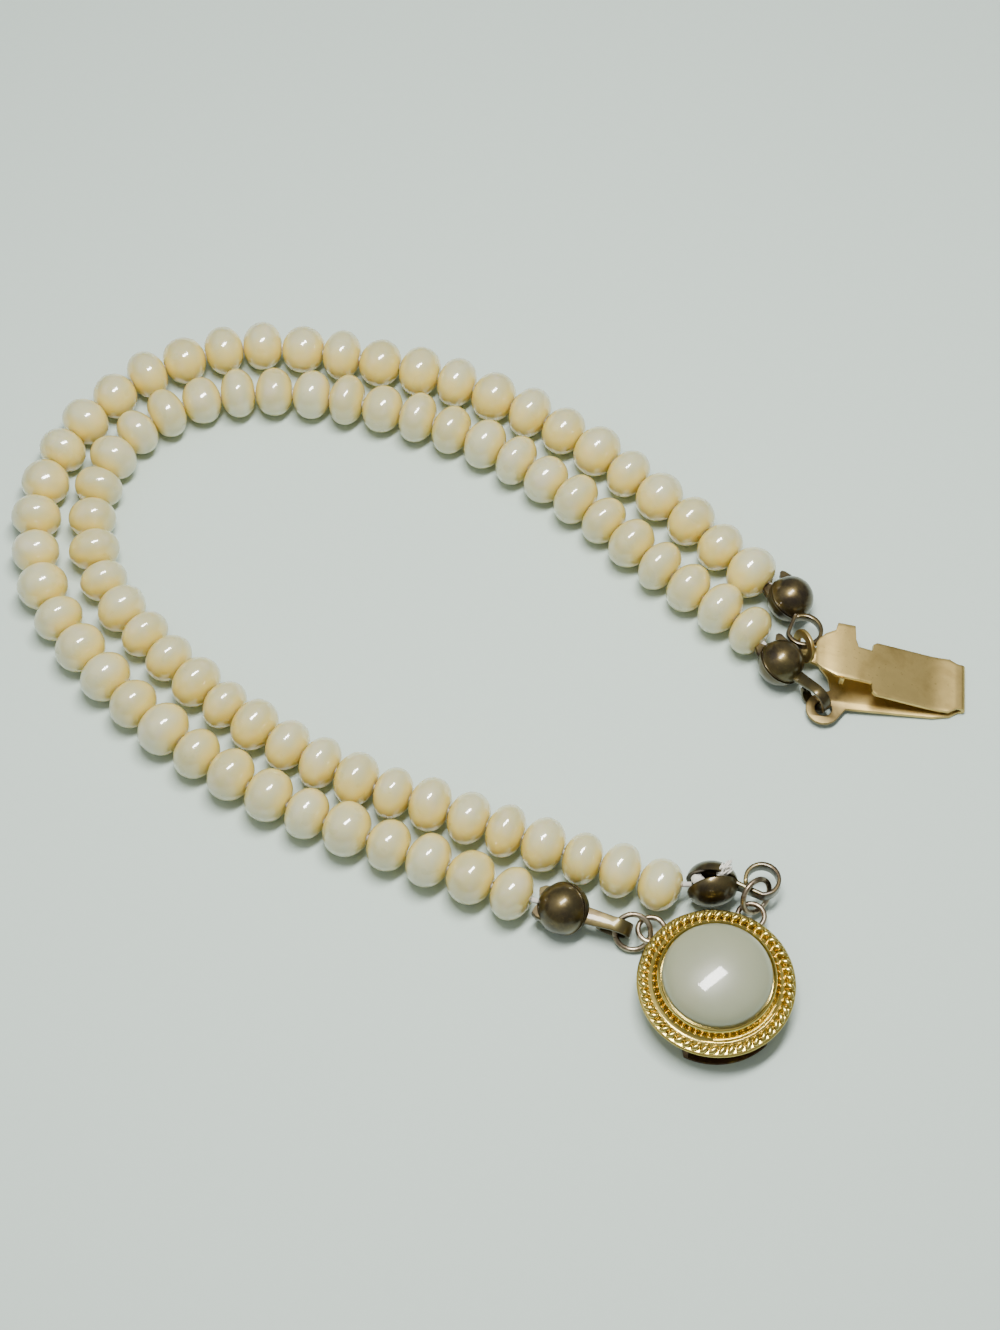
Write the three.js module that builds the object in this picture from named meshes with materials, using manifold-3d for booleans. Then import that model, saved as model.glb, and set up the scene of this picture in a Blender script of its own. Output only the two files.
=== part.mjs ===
// Two-strand pearl bracelet, unfastened, lying flat as an open U with both ends towards +X.
// Millimetres, +Z up. The origin is under the middle of the outline, on the surface it lies on.
import * as THREE from 'three';
import { mergeVertices } from 'three/addons/utils/BufferGeometryUtils.js';
import Module from 'manifold-3d';

const wasm = await Module();
wasm.setup();

// ---- driving dimensions -------------------------------------------------------------------

const PEARL_DIAMETER = 4.95; // across the thread
const PEARL_SPREAD = 0.15; // how far a pearl's diameter strays from that
const BEND_SHRINK = 0.3; // how much smaller the pearls are in the middle of a strand
const PEARL_ROUNDNESS = 2.3; // power of the outline between two drill holes
const PEARL_NECK = 0.8; // radius where two pearls touch
const PEARL_SIDES = 10;
const RUNS_PER_STRAND = 4;
const GAP = 0.3; // between separate pieces that would touch

const STRIP = 0.4; // thickness of the bead tips' strip
const CUP_WALL = 0.35; // of the open bead tip's two cups
const CUP_DEPTH = 0.75; // each of those cups, against half a ball
const OPEN_ANGLE = 8; // degrees that each of those cups is swung out

const WIRE = 0.5; // jump rings and the loops soldered to the box
const RING_RADIUS = 1.6; // jump ring, to the middle of the wire
const LOOP_RADIUS = 1.2; // soldered loop, to the middle of the wire

const BEZEL_RADIUS = 7;
const BOX = { width: 7.4, front: 6.75, back: 5.5, height: 3, wall: 0.3 };
const CABOCHON_RADIUS = 4.9;
const CABOCHON_RISE = 2.1;

const SHEET = 0.35; // the tongue's folded sheet
const PLATE_TILT = 3; // degrees that the ears are propped up by the hooks under them
const FOLD_RADIUS = 0.33; // inside of the fold, to the middle of the sheet
const EAR = { radius: 1.65, hole: 0.8 };

// The two strands: where the thread runs, seen from above, from the tongue's end to the box's end.
const STRANDS = [
  {
    name: 'outer_strand',
    pearls: 39,
    route: [
      [20.8, 20], [9, 22.9], [-3, 24.7], [-15, 24.1], [-26.5, 20.9], [-35.4, 16.8], [-41.9, 9],
      [-44.1, 0], [-42.4, -9.2], [-36.2, -17.1], [-26, -21.8], [-14.5, -24.1], [-3, -24.2],
      [8.5, -22.5], [19.2, -20.9],
    ],
  },
  {
    name: 'inner_strand',
    pearls: 42,
    route: [
      [23.9, 14.4], [13, 16], [3, 18.2], [-9, 19.2], [-20, 17.4], [-30.2, 13.4], [-36.5, 7.8],
      [-39.2, 0.6], [-37.5, -7], [-31.7, -13.4], [-23, -16.8], [-12, -18.8], [0, -18.8],
      [11, -16.7], [20, -15.1], [30, -13.1],
    ],
  },
];

// The bead tips: ball centre, then how the tip is turned: heading towards the clasp, pitch tipping
// the hook's end down, roll about the long axis. The hook is a loop of strip: its width, how far its
// centre is from the ball's and how far off the long axis, its radius, and its height over length.
const BEAD_TIPS = [
  {
    name: 'bead_tip_outer_tongue_end',
    ball: { at: [25.39, 19.64, 2.3], heading: -40.4, pitch: -0.2, roll: 88.4, size: 4.4 },
    hook: { width: 0.8, reach: 3.81, drop: -0.12, radius: 1.61, flatness: 1 },
  },
  {
    name: 'bead_tip_inner_tongue_end',
    ball: { at: [28.05, 12.96, 2.3], heading: -15.6, pitch: 0.6, roll: -2.1, size: 4.4 },
    hook: { width: 0.8, reach: 4.6, drop: 0.64, radius: 1.38, flatness: 1 },
  },
  {
    name: 'bead_tip_outer_box_end',
    ball: { at: [23.8, -19.7, 2.37], heading: 12.5, pitch: -4, roll: 11.5, size: 4.74 },
    hook: { width: 1.3, reach: 4.77, drop: 1.1, radius: 1.4, flatness: 0.72 },
  },
];
const OPEN_TIP = {
  name: 'bead_tip_inner_box_end',
  ball: { at: [33.9, -10.5, 2.3], heading: 33.7, pitch: -1.4, roll: 90, size: 4.6 },
  hook: { width: 1.2, reach: 4.5, drop: 0.1, radius: 1.5, flatness: 1 },
};

// The jump rings: centre, the way the tilted ring's level diameter runs, and its tilt.
const JUMP_RINGS = [
  { name: 'jump_ring_outer', at: [30.08, -17.98, 1.46], heading: 27, lean: 36.4 },
  { name: 'jump_ring_inner', at: [37.83, -9.44, 2.32], heading: 76, lean: 63.3 },
];

// The round clasp: its centre, and the way its slot faces.
const CLASP = { at: [39.05, -18.94], heading: -49.5 };
const LOOP_TURN = 35; // degrees from the clasp's back to each soldered loop
const LOOP_REACH = 7.9; // clasp centre to loop centre
const LOOP_HEIGHT = 1.6;

// The tongue: the middle of its fold, and the way the fold faces.
const TONGUE = { at: [43.8, 20.5], heading: 26.7 };

const CENTRING = [0.14, -0.21]; // brings the middle of the outline over the origin

// ---- helpers ------------------------------------------------------------------------------

const radians = THREE.MathUtils.degToRad;

function metal(color, roughness) {
  return new THREE.MeshStandardMaterial({ color, roughness, metalness: 1 });
}

const nacre = new THREE.MeshStandardMaterial({ color: 0xf3ead4, roughness: 0.25, metalness: 0 });
const cotton = new THREE.MeshStandardMaterial({ color: 0xefeadd, roughness: 0.95, metalness: 0 });
const brightGold = metal(0xd8b85a, 0.25);
const paleGold = metal(0xc9b27c, 0.35);
const darkBronze = metal(0x5d4a33, 0.4);
const silveredWire = metal(0xa79a86, 0.3);

function piece(name, geometry, material) {
  const mesh = new THREE.Mesh(geometry, material);
  mesh.name = name;
  return mesh;
}

// A geometry as a solid that can be joined and cut.
function solid(geometry) {
  const bare = geometry.index ? geometry.toNonIndexed() : geometry.clone();
  bare.deleteAttribute('normal');
  bare.deleteAttribute('uv');
  const merged = mergeVertices(bare, 1e-5);
  return new wasm.Manifold(new wasm.Mesh({
    numProp: 3,
    vertProperties: new Float32Array(merged.attributes.position.array),
    triVerts: new Uint32Array(merged.index.array),
  }));
}

function geometryOf(joined) {
  const mesh = joined.getMesh();
  const geometry = new THREE.BufferGeometry();
  geometry.setAttribute('position', new THREE.BufferAttribute(mesh.vertProperties, 3));
  geometry.setIndex(new THREE.BufferAttribute(mesh.triVerts, 1));
  geometry.computeVertexNormals();
  return geometry;
}

function union(...geometries) {
  return geometries.map(solid).reduce((whole, part) => whole.add(part));
}

function polar(radius, degrees) {
  return [radius * Math.cos(radians(degrees)), radius * Math.sin(radians(degrees))];
}

function shapeFrom(points) {
  return new THREE.Shape(points.map(([x, y]) => new THREE.Vector2(x, y)));
}

function arcPoints(x, y, radius, from, to, steps) {
  return Array.from({ length: steps + 1 }, (_, i) => {
    const [dx, dy] = polar(radius, from + ((to - from) * i) / steps);
    return [x + dx, y + dy];
  });
}

// The outline of a strip of the given thickness that follows a line of points.
function ribbonShape(line, thickness) {
  const sides = [[], []];
  line.forEach(([x, y], i) => {
    const [ax, ay] = line[Math.max(i - 1, 0)];
    const [bx, by] = line[Math.min(i + 1, line.length - 1)];
    const reach = thickness / 2 / Math.hypot(bx - ax, by - ay);
    const [nx, ny] = [(ay - by) * reach, (bx - ax) * reach];
    sides[0].push([x + nx, y + ny]);
    sides[1].unshift([x - nx, y - ny]);
  });
  return shapeFrom([...sides[0], ...sides[1]]);
}

// An outline in the X-Z plane, given a thickness centred on Y = 0.
function extrudeAcross(shape, width) {
  const geometry = new THREE.ExtrudeGeometry(shape, { depth: width, bevelEnabled: false });
  geometry.translate(0, 0, -width / 2);
  geometry.rotateX(Math.PI / 2);
  return geometry;
}

// An outline in the X-Y plane, standing from z to z + height.
function extrudeUp(shape, height, z = 0) {
  const geometry = new THREE.ExtrudeGeometry(shape, { depth: height, bevelEnabled: false });
  geometry.translate(0, 0, z);
  return geometry;
}

// A profile of [radius, height] rows turned about Z.
function turned(profile, segments) {
  const points = profile.map(([radius, height]) => new THREE.Vector2(radius, height));
  const geometry = new THREE.LatheGeometry(points, segments);
  geometry.rotateX(Math.PI / 2);
  return geometry;
}

// ---- pearls -------------------------------------------------------------------------------

// Place along the thread, thickness and radius of every pearl of a strand.
function pearlRow(count, length) {
  const weights = Array.from({ length: count }, (_, i) => 1 + 0.07 * Math.sin(2.4 * i + count));
  const spans = weights.slice(1).map((weight, i) => (weight + weights[i]) / 2);
  const scale = length / spans.reduce((sum, span) => sum + span, 0);
  let along = 0;
  return weights.map((weight, i) => {
    if (i > 0) along += spans[i - 1] * scale;
    const middle = Math.sin((Math.PI * along) / length) ** 6;
    const diameter = PEARL_DIAMETER - BEND_SHRINK * middle + PEARL_SPREAD * Math.sin(3.7 * i + count);
    return { along, thickness: weight * scale, radius: diameter / 2 };
  });
}

// One run of pearls, turned as a single profile and then laid along the strand's curve.
// Every pearl's height is its own radius, so each one touches the surface beneath.
function pearlRun(curve, length, pearls) {
  const rings = [];
  pearls.forEach((pearl, i) => {
    const half = pearl.thickness / 2;
    const next = pearls[i + 1];
    const outline = (x) => pearl.radius * (1 - Math.abs(x) ** PEARL_ROUNDNESS) ** (1 / PEARL_ROUNDNESS);
    if (i === 0) {
      rings.push({ at: pearl.along - half + GAP / 2, radius: 0, height: pearl.radius });
      rings.push({ at: pearl.along - 0.9 * half, radius: outline(0.9), height: pearl.radius });
    }
    for (const x of [-0.62, 0, 0.62]) {
      rings.push({ at: pearl.along + x * half, radius: outline(x), height: pearl.radius });
    }
    if (next) {
      rings.push({ at: pearl.along + half, radius: PEARL_NECK, height: (pearl.radius + next.radius) / 2 });
    } else {
      rings.push({ at: pearl.along + 0.9 * half, radius: outline(0.9), height: pearl.radius });
      rings.push({ at: pearl.along + half - GAP / 2, radius: 0, height: pearl.radius });
    }
  });

  const profile = rings.map(({ radius }, i) => new THREE.Vector2(radius, i));
  const geometry = new THREE.LatheGeometry(profile, PEARL_SIDES);
  const position = geometry.attributes.position;
  for (let i = 0; i < position.count; i += 1) {
    const ring = rings[Math.round(position.getY(i))];
    const u = ring.at / length;
    const centre = curve.getPointAt(THREE.MathUtils.clamp(u, 0, 1));
    const tangent = curve.getTangentAt(THREE.MathUtils.clamp(u, 0, 1));
    const beyond = ring.at - length * THREE.MathUtils.clamp(u, 0, 1);
    centre.addScaledVector(tangent, beyond);
    const [side, up] = [position.getX(i), -position.getZ(i)];
    position.setXYZ(
      i,
      centre.x - tangent.y * side,
      centre.y + tangent.x * side,
      ring.height + up,
    );
  }
  return geometryOf(solid(geometry));
}

function strand({ name, pearls, route }) {
  const group = new THREE.Group();
  const curve = new THREE.CatmullRomCurve3(route.map(([x, y]) => new THREE.Vector3(x, y, 0)));
  const length = curve.getLength();
  const row = pearlRow(pearls, length);
  for (let run = 0; run < RUNS_PER_STRAND; run += 1) {
    const from = Math.round((run * pearls) / RUNS_PER_STRAND);
    const to = Math.round(((run + 1) * pearls) / RUNS_PER_STRAND);
    group.add(piece(`${name}_${run + 1}`, pearlRun(curve, length, row.slice(from, to)), nacre));
  }
  return group;
}

// ---- bead tips ----------------------------------------------------------------------------
// Each is made with its ball at the origin, the pearl on -X and the hook on +X.

function turnedPiece(mesh, { at, heading, pitch, roll }) {
  mesh.position.set(...at);
  mesh.rotation.set(radians(roll), radians(pitch), radians(heading), 'ZYX');
  return mesh;
}

// The strip: out of the ball, then curled back under itself into a loop round Y.
function hookStrip(size, { width, reach, drop, radius, flatness }) {
  const loop = arcPoints(0, 0, radius, 95, -195, 12).map(([x, z]) => [reach + x, z * flatness - drop]);
  return extrudeAcross(ribbonShape([[size / 2 - 0.4, 0], ...loop], STRIP), width);
}

// Two small ears beside the notch that the thread comes out of.
function notchEars(size) {
  return [-1, 1].map((side) => {
    const ear = new THREE.BoxGeometry(1.1, 0.5, 0.9);
    ear.translate(-size / 2 + 0.25, side * 0.85, 0);
    return ear;
  });
}

function closedTip({ name, ball, hook }) {
  const sphere = new THREE.SphereGeometry(ball.size / 2, 14, 8);
  const joined = union(sphere, hookStrip(ball.size, hook), ...notchEars(ball.size));
  return turnedPiece(piece(name, geometryOf(joined), darkBronze), ball);
}

// One hollow half of the open tip, a little flattened: the half on the +Z side of the seam.
function cup(size) {
  const outer = solid(new THREE.SphereGeometry(size / 2, 14, 8));
  const inner = solid(new THREE.SphereGeometry(size / 2 - CUP_WALL, 14, 8));
  const half = new THREE.BoxGeometry(size + 2, size + 2, size + 2);
  half.translate(0, 0, size / 2 + 1);
  return outer.subtract(inner).intersect(solid(half)).scale([1, 1, CUP_DEPTH]);
}

// The two cups are swung apart about the end where the strip joins them.
function openTip({ name, ball, hook }) {
  const hinge = ball.size / 2;
  const swung = (half, angle) => half.translate([-hinge, 0, 0]).rotate([0, angle, 0])
    .translate([hinge, 0, 0]);
  const half = cup(ball.size);
  const web = new THREE.BoxGeometry(0.5, hook.width, 1);
  web.translate(hinge - 0.05, 0, 0);
  const joined = swung(half, OPEN_ANGLE)
    .add(swung(half.mirror([0, 0, 1]), -OPEN_ANGLE))
    .add(solid(web))
    .add(solid(hookStrip(ball.size, hook)));
  return turnedPiece(piece(name, geometryOf(joined), darkBronze), ball);
}

// The knot in the open tip, with its cut end standing up out of the seam.
function threadKnot({ ball }) {
  const knot = new THREE.SphereGeometry(0.6, 8, 6);
  knot.translate(-1.1, 0, 0);
  const end = new THREE.CylinderGeometry(0.25, 0.12, 2.9, 6);
  end.rotateX(Math.PI / 2);
  end.rotateY(radians(25));
  end.translate(-0.5, 0, 1.45);
  const mesh = piece('thread_knot', geometryOf(union(knot, end)), cotton);
  mesh.position.set(...ball.at);
  mesh.rotation.z = radians(ball.heading);
  return mesh;
}

// ---- jump rings ---------------------------------------------------------------------------

function jumpRing({ name, at, heading, lean }) {
  const mesh = piece(name, new THREE.TorusGeometry(RING_RADIUS, WIRE / 2, 6, 18), silveredWire);
  return turnedPiece(mesh, { at, heading, pitch: 0, roll: lean });
}

// ---- clasp --------------------------------------------------------------------------------
// Made about its own centre, with the slot facing +X.

// The stamped round top: rope edge, hollow band and the lip that holds the cabochon.
function bezel() {
  const profile = [
    [0, 2.8], [6.5, 2.8], [BEZEL_RADIUS, 3.1], [BEZEL_RADIUS, 3.4], [6.7, 3.7], [6.35, 3.55],
    [5.75, 3.95], [5.35, 4.5], [5.2, 4.8], [5.0, 4.8], [4.98, 4.0], [0, 4.0],
  ];
  return turned(profile, 36);
}

// The box under it seen from above, a wall's thickness or more inside its outside face.
function boxOutline(inset) {
  const side = BOX.width / 2 - inset;
  const half = THREE.MathUtils.radToDeg(Math.asin(side / BOX.front));
  return shapeFrom([[-BOX.back + inset, -side], ...arcPoints(0, 0, BOX.front, -half, half, 8),
    [-BOX.back + inset, side]]);
}

// Hollow, and open along its rounded front for the tongue.
function slottedBox() {
  const { height, wall, front } = BOX;
  const outer = extrudeUp(boxOutline(0), height);
  const room = extrudeUp(boxOutline(wall), height - 2 * wall, wall);
  const mouth = new THREE.BoxGeometry(front, BOX.width - 2 * wall, height - 2 * wall);
  mouth.translate(front, 0, height / 2);
  return solid(outer).subtract(solid(room).add(solid(mouth)));
}

// A wire loop lying flat beside a back corner of the box, with its drop of solder.
function solderedLoop(side) {
  const [x, y] = polar(LOOP_REACH, 180 - side * LOOP_TURN);
  const loop = new THREE.TorusGeometry(LOOP_RADIUS, WIRE / 2, 6, 16);
  loop.translate(x, y, LOOP_HEIGHT);
  const drop = new THREE.SphereGeometry(0.5, 8, 6);
  drop.translate(...polar(LOOP_REACH - LOOP_RADIUS - 0.05, 180 - side * LOOP_TURN), LOOP_HEIGHT);
  return solid(loop).add(solid(drop));
}

function clasp() {
  const group = new THREE.Group();
  const joined = slottedBox().add(solid(bezel())).add(solderedLoop(1)).add(solderedLoop(-1));
  group.add(piece('clasp_box', geometryOf(joined), brightGold));
  const seat = 4.0 + GAP / 2;
  const dome = arcPoints(0, 0, 1, 0, 90, 6).map(([x, y]) => [
    x * (CABOCHON_RADIUS - 0.1),
    seat + 0.6 + y * CABOCHON_RISE,
  ]);
  dome[6][0] = 0;
  const cabochon = turned([[0, seat], [CABOCHON_RADIUS - 0.1, seat], ...dome], 36);
  group.add(piece('cabochon', geometryOf(solid(cabochon)), nacre));
  group.position.set(...CLASP.at, 0);
  group.rotation.z = radians(CLASP.heading);
  return group;
}

// ---- tongue -------------------------------------------------------------------------------
// Made with the fold at the origin, facing +X; the plate and the leaf run back along -X.

// Seen from above: half widths along the plate, then the two ears.
const PLATE_OUTLINE = [
  { back: 0.3, half: 2.4 },
  { back: 1.4, half: 2.95 },
  { back: 3, half: 3.25 },
  { back: 11.2, half: 3.35 },
];
const FLAT_EAR = [-13.3, -3.5];
const BENT_EAR = { at: [-15.5, 2.35, 1.45], heading: -62, lean: 78 };

function plateBody() {
  const right = PLATE_OUTLINE.map(({ back, half }) => [-back, -half]);
  const left = PLATE_OUTLINE.map(({ back, half }) => [-back, half]).reverse();
  const rear = [[-12.7, -1.5], [-13, -0.2], [-13.9, 1.1], [-15.1, 1.6], [-15.75, 2], [-15.8, 2.5], [-14.6, 3]];
  const ear = arcPoints(...FLAT_EAR, EAR.radius, -30, -230, 10);
  return extrudeUp(shapeFrom([...right, ...ear, ...rear, ...left].reverse()), SHEET);
}

function earHole() {
  return solid(extrudeUp(shapeFrom(arcPoints(...FLAT_EAR, EAR.hole, 0, 337.5, 15)), 3, -1));
}

// The second ear has been bent up on edge.
function bentEar() {
  const outline = shapeFrom(arcPoints(0, 0, EAR.radius, 0, 345, 15));
  outline.holes.push(new THREE.Path(
    arcPoints(0, 0, EAR.hole, 0, 337.5, 11).map(([x, y]) => new THREE.Vector2(x, y)),
  ));
  const ring = extrudeUp(outline, SHEET, -SHEET / 2);
  ring.rotateX(radians(BENT_EAR.lean));
  ring.rotateZ(radians(BENT_EAR.heading));
  ring.translate(...BENT_EAR.at);
  return solid(ring);
}

// The fold itself: a half turn of the sheet, from the plate up to the start of the leaf.
function fold() {
  const middle = SHEET / 2 + FOLD_RADIUS;
  const line = [[-0.6, SHEET / 2], ...arcPoints(-FOLD_RADIUS - SHEET / 2, middle, FOLD_RADIUS, -90, 90, 8)];
  return solid(extrudeAcross(ribbonShape(line, SHEET), 4.8));
}

// Side view of the spring leaf: [distance back from the fold, height of its middle].
const LEAF_LINE = [
  [0.85, 0.9], [3, 1.05], [8.6, 2.65], [10.3, 3.05], [12.6, 3.35], [14.1, 3.2], [14.9, 2.8],
];
// Seen from above, half of the leaf: shoulders, neck, then the thumb-piece.
const LEAF_SIDE = [
  { back: 0.85, left: 2.4, right: 2.4 },
  { back: 1.6, left: 2.8, right: 2.9 },
  { back: 8.8, left: 2.7, right: 2.9 },
  { back: 9.2, left: 2.4, right: 2.6 },
  { back: 9.3, left: 1.7, right: 1.7 },
  { back: 10.6, left: 1.8, right: 1.7 },
  { back: 10.9, left: 2.6, right: 1.7 },
  { back: 10.95, left: 4.1, right: 1.7 },
  { back: 12.7, left: 4.1, right: 1.6 },
  { back: 12.9, left: 3.3, right: 1.4 },
  { back: 13.8, left: 2.7, right: 0.8 },
  { back: 14.3, left: 1.8, right: 0.2 },
];

function leafBody() {
  const side = extrudeAcross(ribbonShape(LEAF_LINE.map(([back, z]) => [-back, z]), SHEET), 12);
  const left = LEAF_SIDE.map((row) => [-row.back, row.left]);
  const right = LEAF_SIDE.map((row) => [-row.back, -row.right]).reverse();
  const outline = extrudeUp(shapeFrom([...left, ...right]), 8, -1);
  return solid(side).intersect(solid(outline));
}

function tongue() {
  const group = new THREE.Group();
  const plate = solid(plateBody()).subtract(earHole()).add(bentEar()).add(fold());
  group.add(piece('tongue_plate', geometryOf(plate), paleGold));
  group.add(piece('tongue_leaf', geometryOf(leafBody()), paleGold));
  group.position.set(...TONGUE.at, 0);
  group.rotation.set(0, radians(PLATE_TILT), radians(TONGUE.heading), 'ZYX');
  return group;
}

// ---- assembly -----------------------------------------------------------------------------

const bracelet = new THREE.Group();
bracelet.add(
  ...STRANDS.map(strand),
  ...BEAD_TIPS.map(closedTip),
  openTip(OPEN_TIP),
  threadKnot(OPEN_TIP),
  ...JUMP_RINGS.map(jumpRing),
  clasp(),
  tongue(),
);
bracelet.position.set(...CENTRING, 0);

export default bracelet;
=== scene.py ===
"""Looks of the pearl bracelet: two strands of pearls, their bead tips, a round clasp, its tongue.

Shapes are written in millimetres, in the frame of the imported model, and become metres in piece().
"""
import math
import random

import bmesh
import bpy
from mathutils import Matrix, Vector, noise


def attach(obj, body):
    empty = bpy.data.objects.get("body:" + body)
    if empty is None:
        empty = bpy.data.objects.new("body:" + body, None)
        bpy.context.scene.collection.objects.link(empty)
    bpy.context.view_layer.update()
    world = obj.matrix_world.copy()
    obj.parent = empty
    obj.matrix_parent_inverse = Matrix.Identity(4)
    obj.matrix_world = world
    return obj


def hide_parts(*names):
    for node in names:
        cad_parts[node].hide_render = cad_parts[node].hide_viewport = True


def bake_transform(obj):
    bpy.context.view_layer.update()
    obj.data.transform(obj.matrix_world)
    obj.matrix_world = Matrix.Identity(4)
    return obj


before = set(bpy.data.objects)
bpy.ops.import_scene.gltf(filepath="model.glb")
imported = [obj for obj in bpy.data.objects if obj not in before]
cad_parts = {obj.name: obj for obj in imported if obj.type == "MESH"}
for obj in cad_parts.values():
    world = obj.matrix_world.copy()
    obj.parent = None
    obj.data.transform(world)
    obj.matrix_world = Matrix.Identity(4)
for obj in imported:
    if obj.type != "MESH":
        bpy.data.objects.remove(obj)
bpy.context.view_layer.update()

bl_info = {
    "name": "Pearl Bracelet",
    "version": (1, 0, 0),
    "blender": (4, 5, 0),
    "location": "3D View > Sidebar > Bracelet",
    "description": "Makes a two-strand pearl bracelet with a round clasp",
    "category": "Add Mesh",
}

MM = 0.001
ROOT = "strands_and_clasp"

# The outline's middle lies over the origin; every place below is from before that shift.
CENTRING = Vector((0.14, -0.21, 0))

STRANDS = {
    "outer": {
        "pearls": 39, "neighbour": 1.0,
        "route": [
            (20.8, 20), (9, 22.9), (-3, 24.7), (-15, 24.1), (-26.5, 20.9), (-35.4, 16.8),
            (-41.9, 9),
            (-44.1, 0), (-42.4, -9.2), (-36.2, -17.1), (-26, -21.8), (-14.5, -24.1), (-3, -24.2),
            (8.5, -22.5), (19.2, -20.9),
        ],
    },
    "inner": {
        "pearls": 42, "neighbour": -1.0,
        "route": [
            (23.9, 14.4), (13, 16), (3, 18.2), (-9, 19.2), (-20, 17.4), (-30.2, 13.4), (-36.5, 7.8),
            (-39.2, 0.6), (-37.5, -7), (-31.7, -13.4), (-23, -16.8), (-12, -18.8), (0, -18.8),
            (11, -16.7), (20, -15.1), (30, -13.1),
        ],
    },
}

# Each bead tip: its ball, how its hook is turned, the way the upper cup bulges, and the heading
# of its notched collar.
CLOSED_TIPS = [
    {
        "name": "bead_tip_outer_tongue_end", "at": (25.39, 19.64, 2.3), "size": 4.4,
        "turn": (-40.4, -0.2, 88.4), "bulge": (0.38, 0.33, 0.86),
        "collar": -20, "horn": 0.25, "strip": 0.9,
        "hook": {"reach": 3.81, "drop": -0.12, "radius": 1.61, "flatness": 1},
    },
    {
        "name": "bead_tip_inner_tongue_end", "at": (28.05, 12.96, 2.3), "size": 4.4,
        "turn": (-15.6, 0.6, -2.1), "bulge": (0.38, 0.33, 0.86),
        "collar": -31, "horn": 0.25, "strip": 1.0,
        "hook": {"reach": 4.6, "drop": 0.64, "radius": 1.38, "flatness": 1},
    },
    {
        "name": "bead_tip_outer_box_end", "at": (23.8, -19.7, 2.37), "size": 4.74,
        "turn": (12.5, -4, 11.5), "bulge": (-0.31, -0.66, 0.68),
        "collar": 15, "horn": -0.2, "strip": 1.3,
        "hook": {"reach": 4.77, "drop": 1.1, "radius": 1.4, "flatness": 0.72},
    },
]
OPEN_TIP = {
    "name": "bead_tip_inner_box_end", "at": (33.9, -10.5, 2.3), "size": 4.6,
    "turn": (33.7, -1.4, 90), "strip": 1.2,
    "hook": {"reach": 4.5, "drop": 0.1, "radius": 1.5, "flatness": 1},
}

JUMP_RINGS = {
    "jump_ring_outer": {"at": (30.08, -17.98, 1.46), "turn": (27, 0, 36.4), "cut": 200},
    "jump_ring_inner": {"at": (37.83, -9.44, 2.32), "turn": (76, 0, 63.3), "cut": 30},
}

CLASP_AT = (39.05, -18.94, 0)
CLASP_HEADING = -49.5
BOX_FRONT = 6.45
LOOP_TURN = 35
LOOP_REACH = 7.9
LOOP_HEIGHT = 1.6

TONGUE_AT = (43.8, 20.5, 0)
TONGUE_HEADING = 26.7
TONGUE_TILT = 3
SHEET = 0.35
FLAT_EAR = (-13.3, -3.5, 0)
EAR_RADIUS = 1.65
EAR_HOLE = 0.8
FOLD_RADIUS = 0.33

# Distance back from the fold, and height, along the middle of the spring leaf.
LEAF_LINE = [
    (0.85, 0.9), (3, 1.05), (8.6, 2.65), (10.3, 3.05), (12.6, 3.35), (14.1, 3.2), (14.9, 2.8),
]
# Distance back from the fold, then how far the leaf reaches to its left and to its right.
LEAF_SIDES = [
    (0.85, 2.4, 2.4), (1.6, 2.8, 2.9), (8.8, 2.7, 2.9), (9.15, 2.45, 2.65), (9.25, 1.75, 1.75),
    (10.6, 1.85, 1.7), (10.85, 2.6, 1.7), (10.95, 4.05, 1.7), (12.6, 4.1, 1.6), (12.8, 3.3, 1.5),
    (13.7, 2.85, 1.0), (14.2, 2.4, 0.6), (14.5, 1.9, 0.2),
]


# ---- settings -----------------------------------------------------------------------------------


def length(name, description, millimetres):
    return bpy.props.FloatProperty(
        name=name, description=description, default=millimetres * MM, min=0.0,
        unit="LENGTH", precision=5,
    )


def colour(name, description, default):
    return bpy.props.FloatVectorProperty(
        name=name, description=description, default=default, size=3, min=0.0, max=1.0,
        subtype="COLOR",
    )


class PearlSettings(bpy.types.PropertyGroup):
    diameter: length("Diameter", "Pearl across the thread", 5.02)
    spread: length("Spread", "How far a pearl's diameter strays", 0.15)
    bend_shrink: length("Bend shrink", "How much smaller the middle pearls are", 0.3)
    lumpiness: length("Lumpiness", "How far a pearl's skin strays from round", 0.11)
    cream: colour("Cream", "Nacre of the warmer pearls", (0.49, 0.45, 0.22))
    white: colour("White", "Nacre of the whiter pearls", (0.52, 0.51, 0.31))
    # Honey is a painted glow: light through the pearls, painted into their colour.
    honey: colour("Honey", "Light that has passed through neighbouring pearls", (0.80, 0.61, 0.11))
    blush: colour("Blush", "Faint pink overtone", (0.60, 0.54, 0.38))
    cotton: colour("Thread", "Cotton thread and its frayed end", (0.80, 0.77, 0.68))


class TipSettings(bpy.types.PropertyGroup):
    wall: length("Cup wall", "Thickness of a cup", 0.3)
    strip: length("Strip", "Thickness of the hooked strip", 0.38)
    bronze: colour("Bronze", "Tarnished metal where it is brightest", (0.100, 0.074, 0.026))
    tarnish: colour("Tarnish", "Darkest tarnish", (0.035, 0.024, 0.012))
    olive: colour("Olive", "Greenish sheen of old plating", (0.085, 0.070, 0.018))


class ClaspSettings(bpy.types.PropertyGroup):
    radius: length("Radius", "Outside edge of the round top", 7.0)
    rope_radius: length("Rope radius", "Middle of the rope edge", 6.42)
    rope_beads: bpy.props.IntProperty(
        name="Rope beads", description="Slanted beads round the edge", default=52, min=8)
    gold: colour("Gold", "Bright yellow plating", (0.66, 0.52, 0.15))
    deep_gold: colour("Deep gold", "Plating in the hollows", (0.36, 0.26, 0.05))
    bare: colour("Bare box", "Worn brown metal of the box", (0.13, 0.068, 0.03))
    shell: colour("Cabochon", "Grey-cream of the dome", (0.29, 0.31, 0.20))


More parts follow.
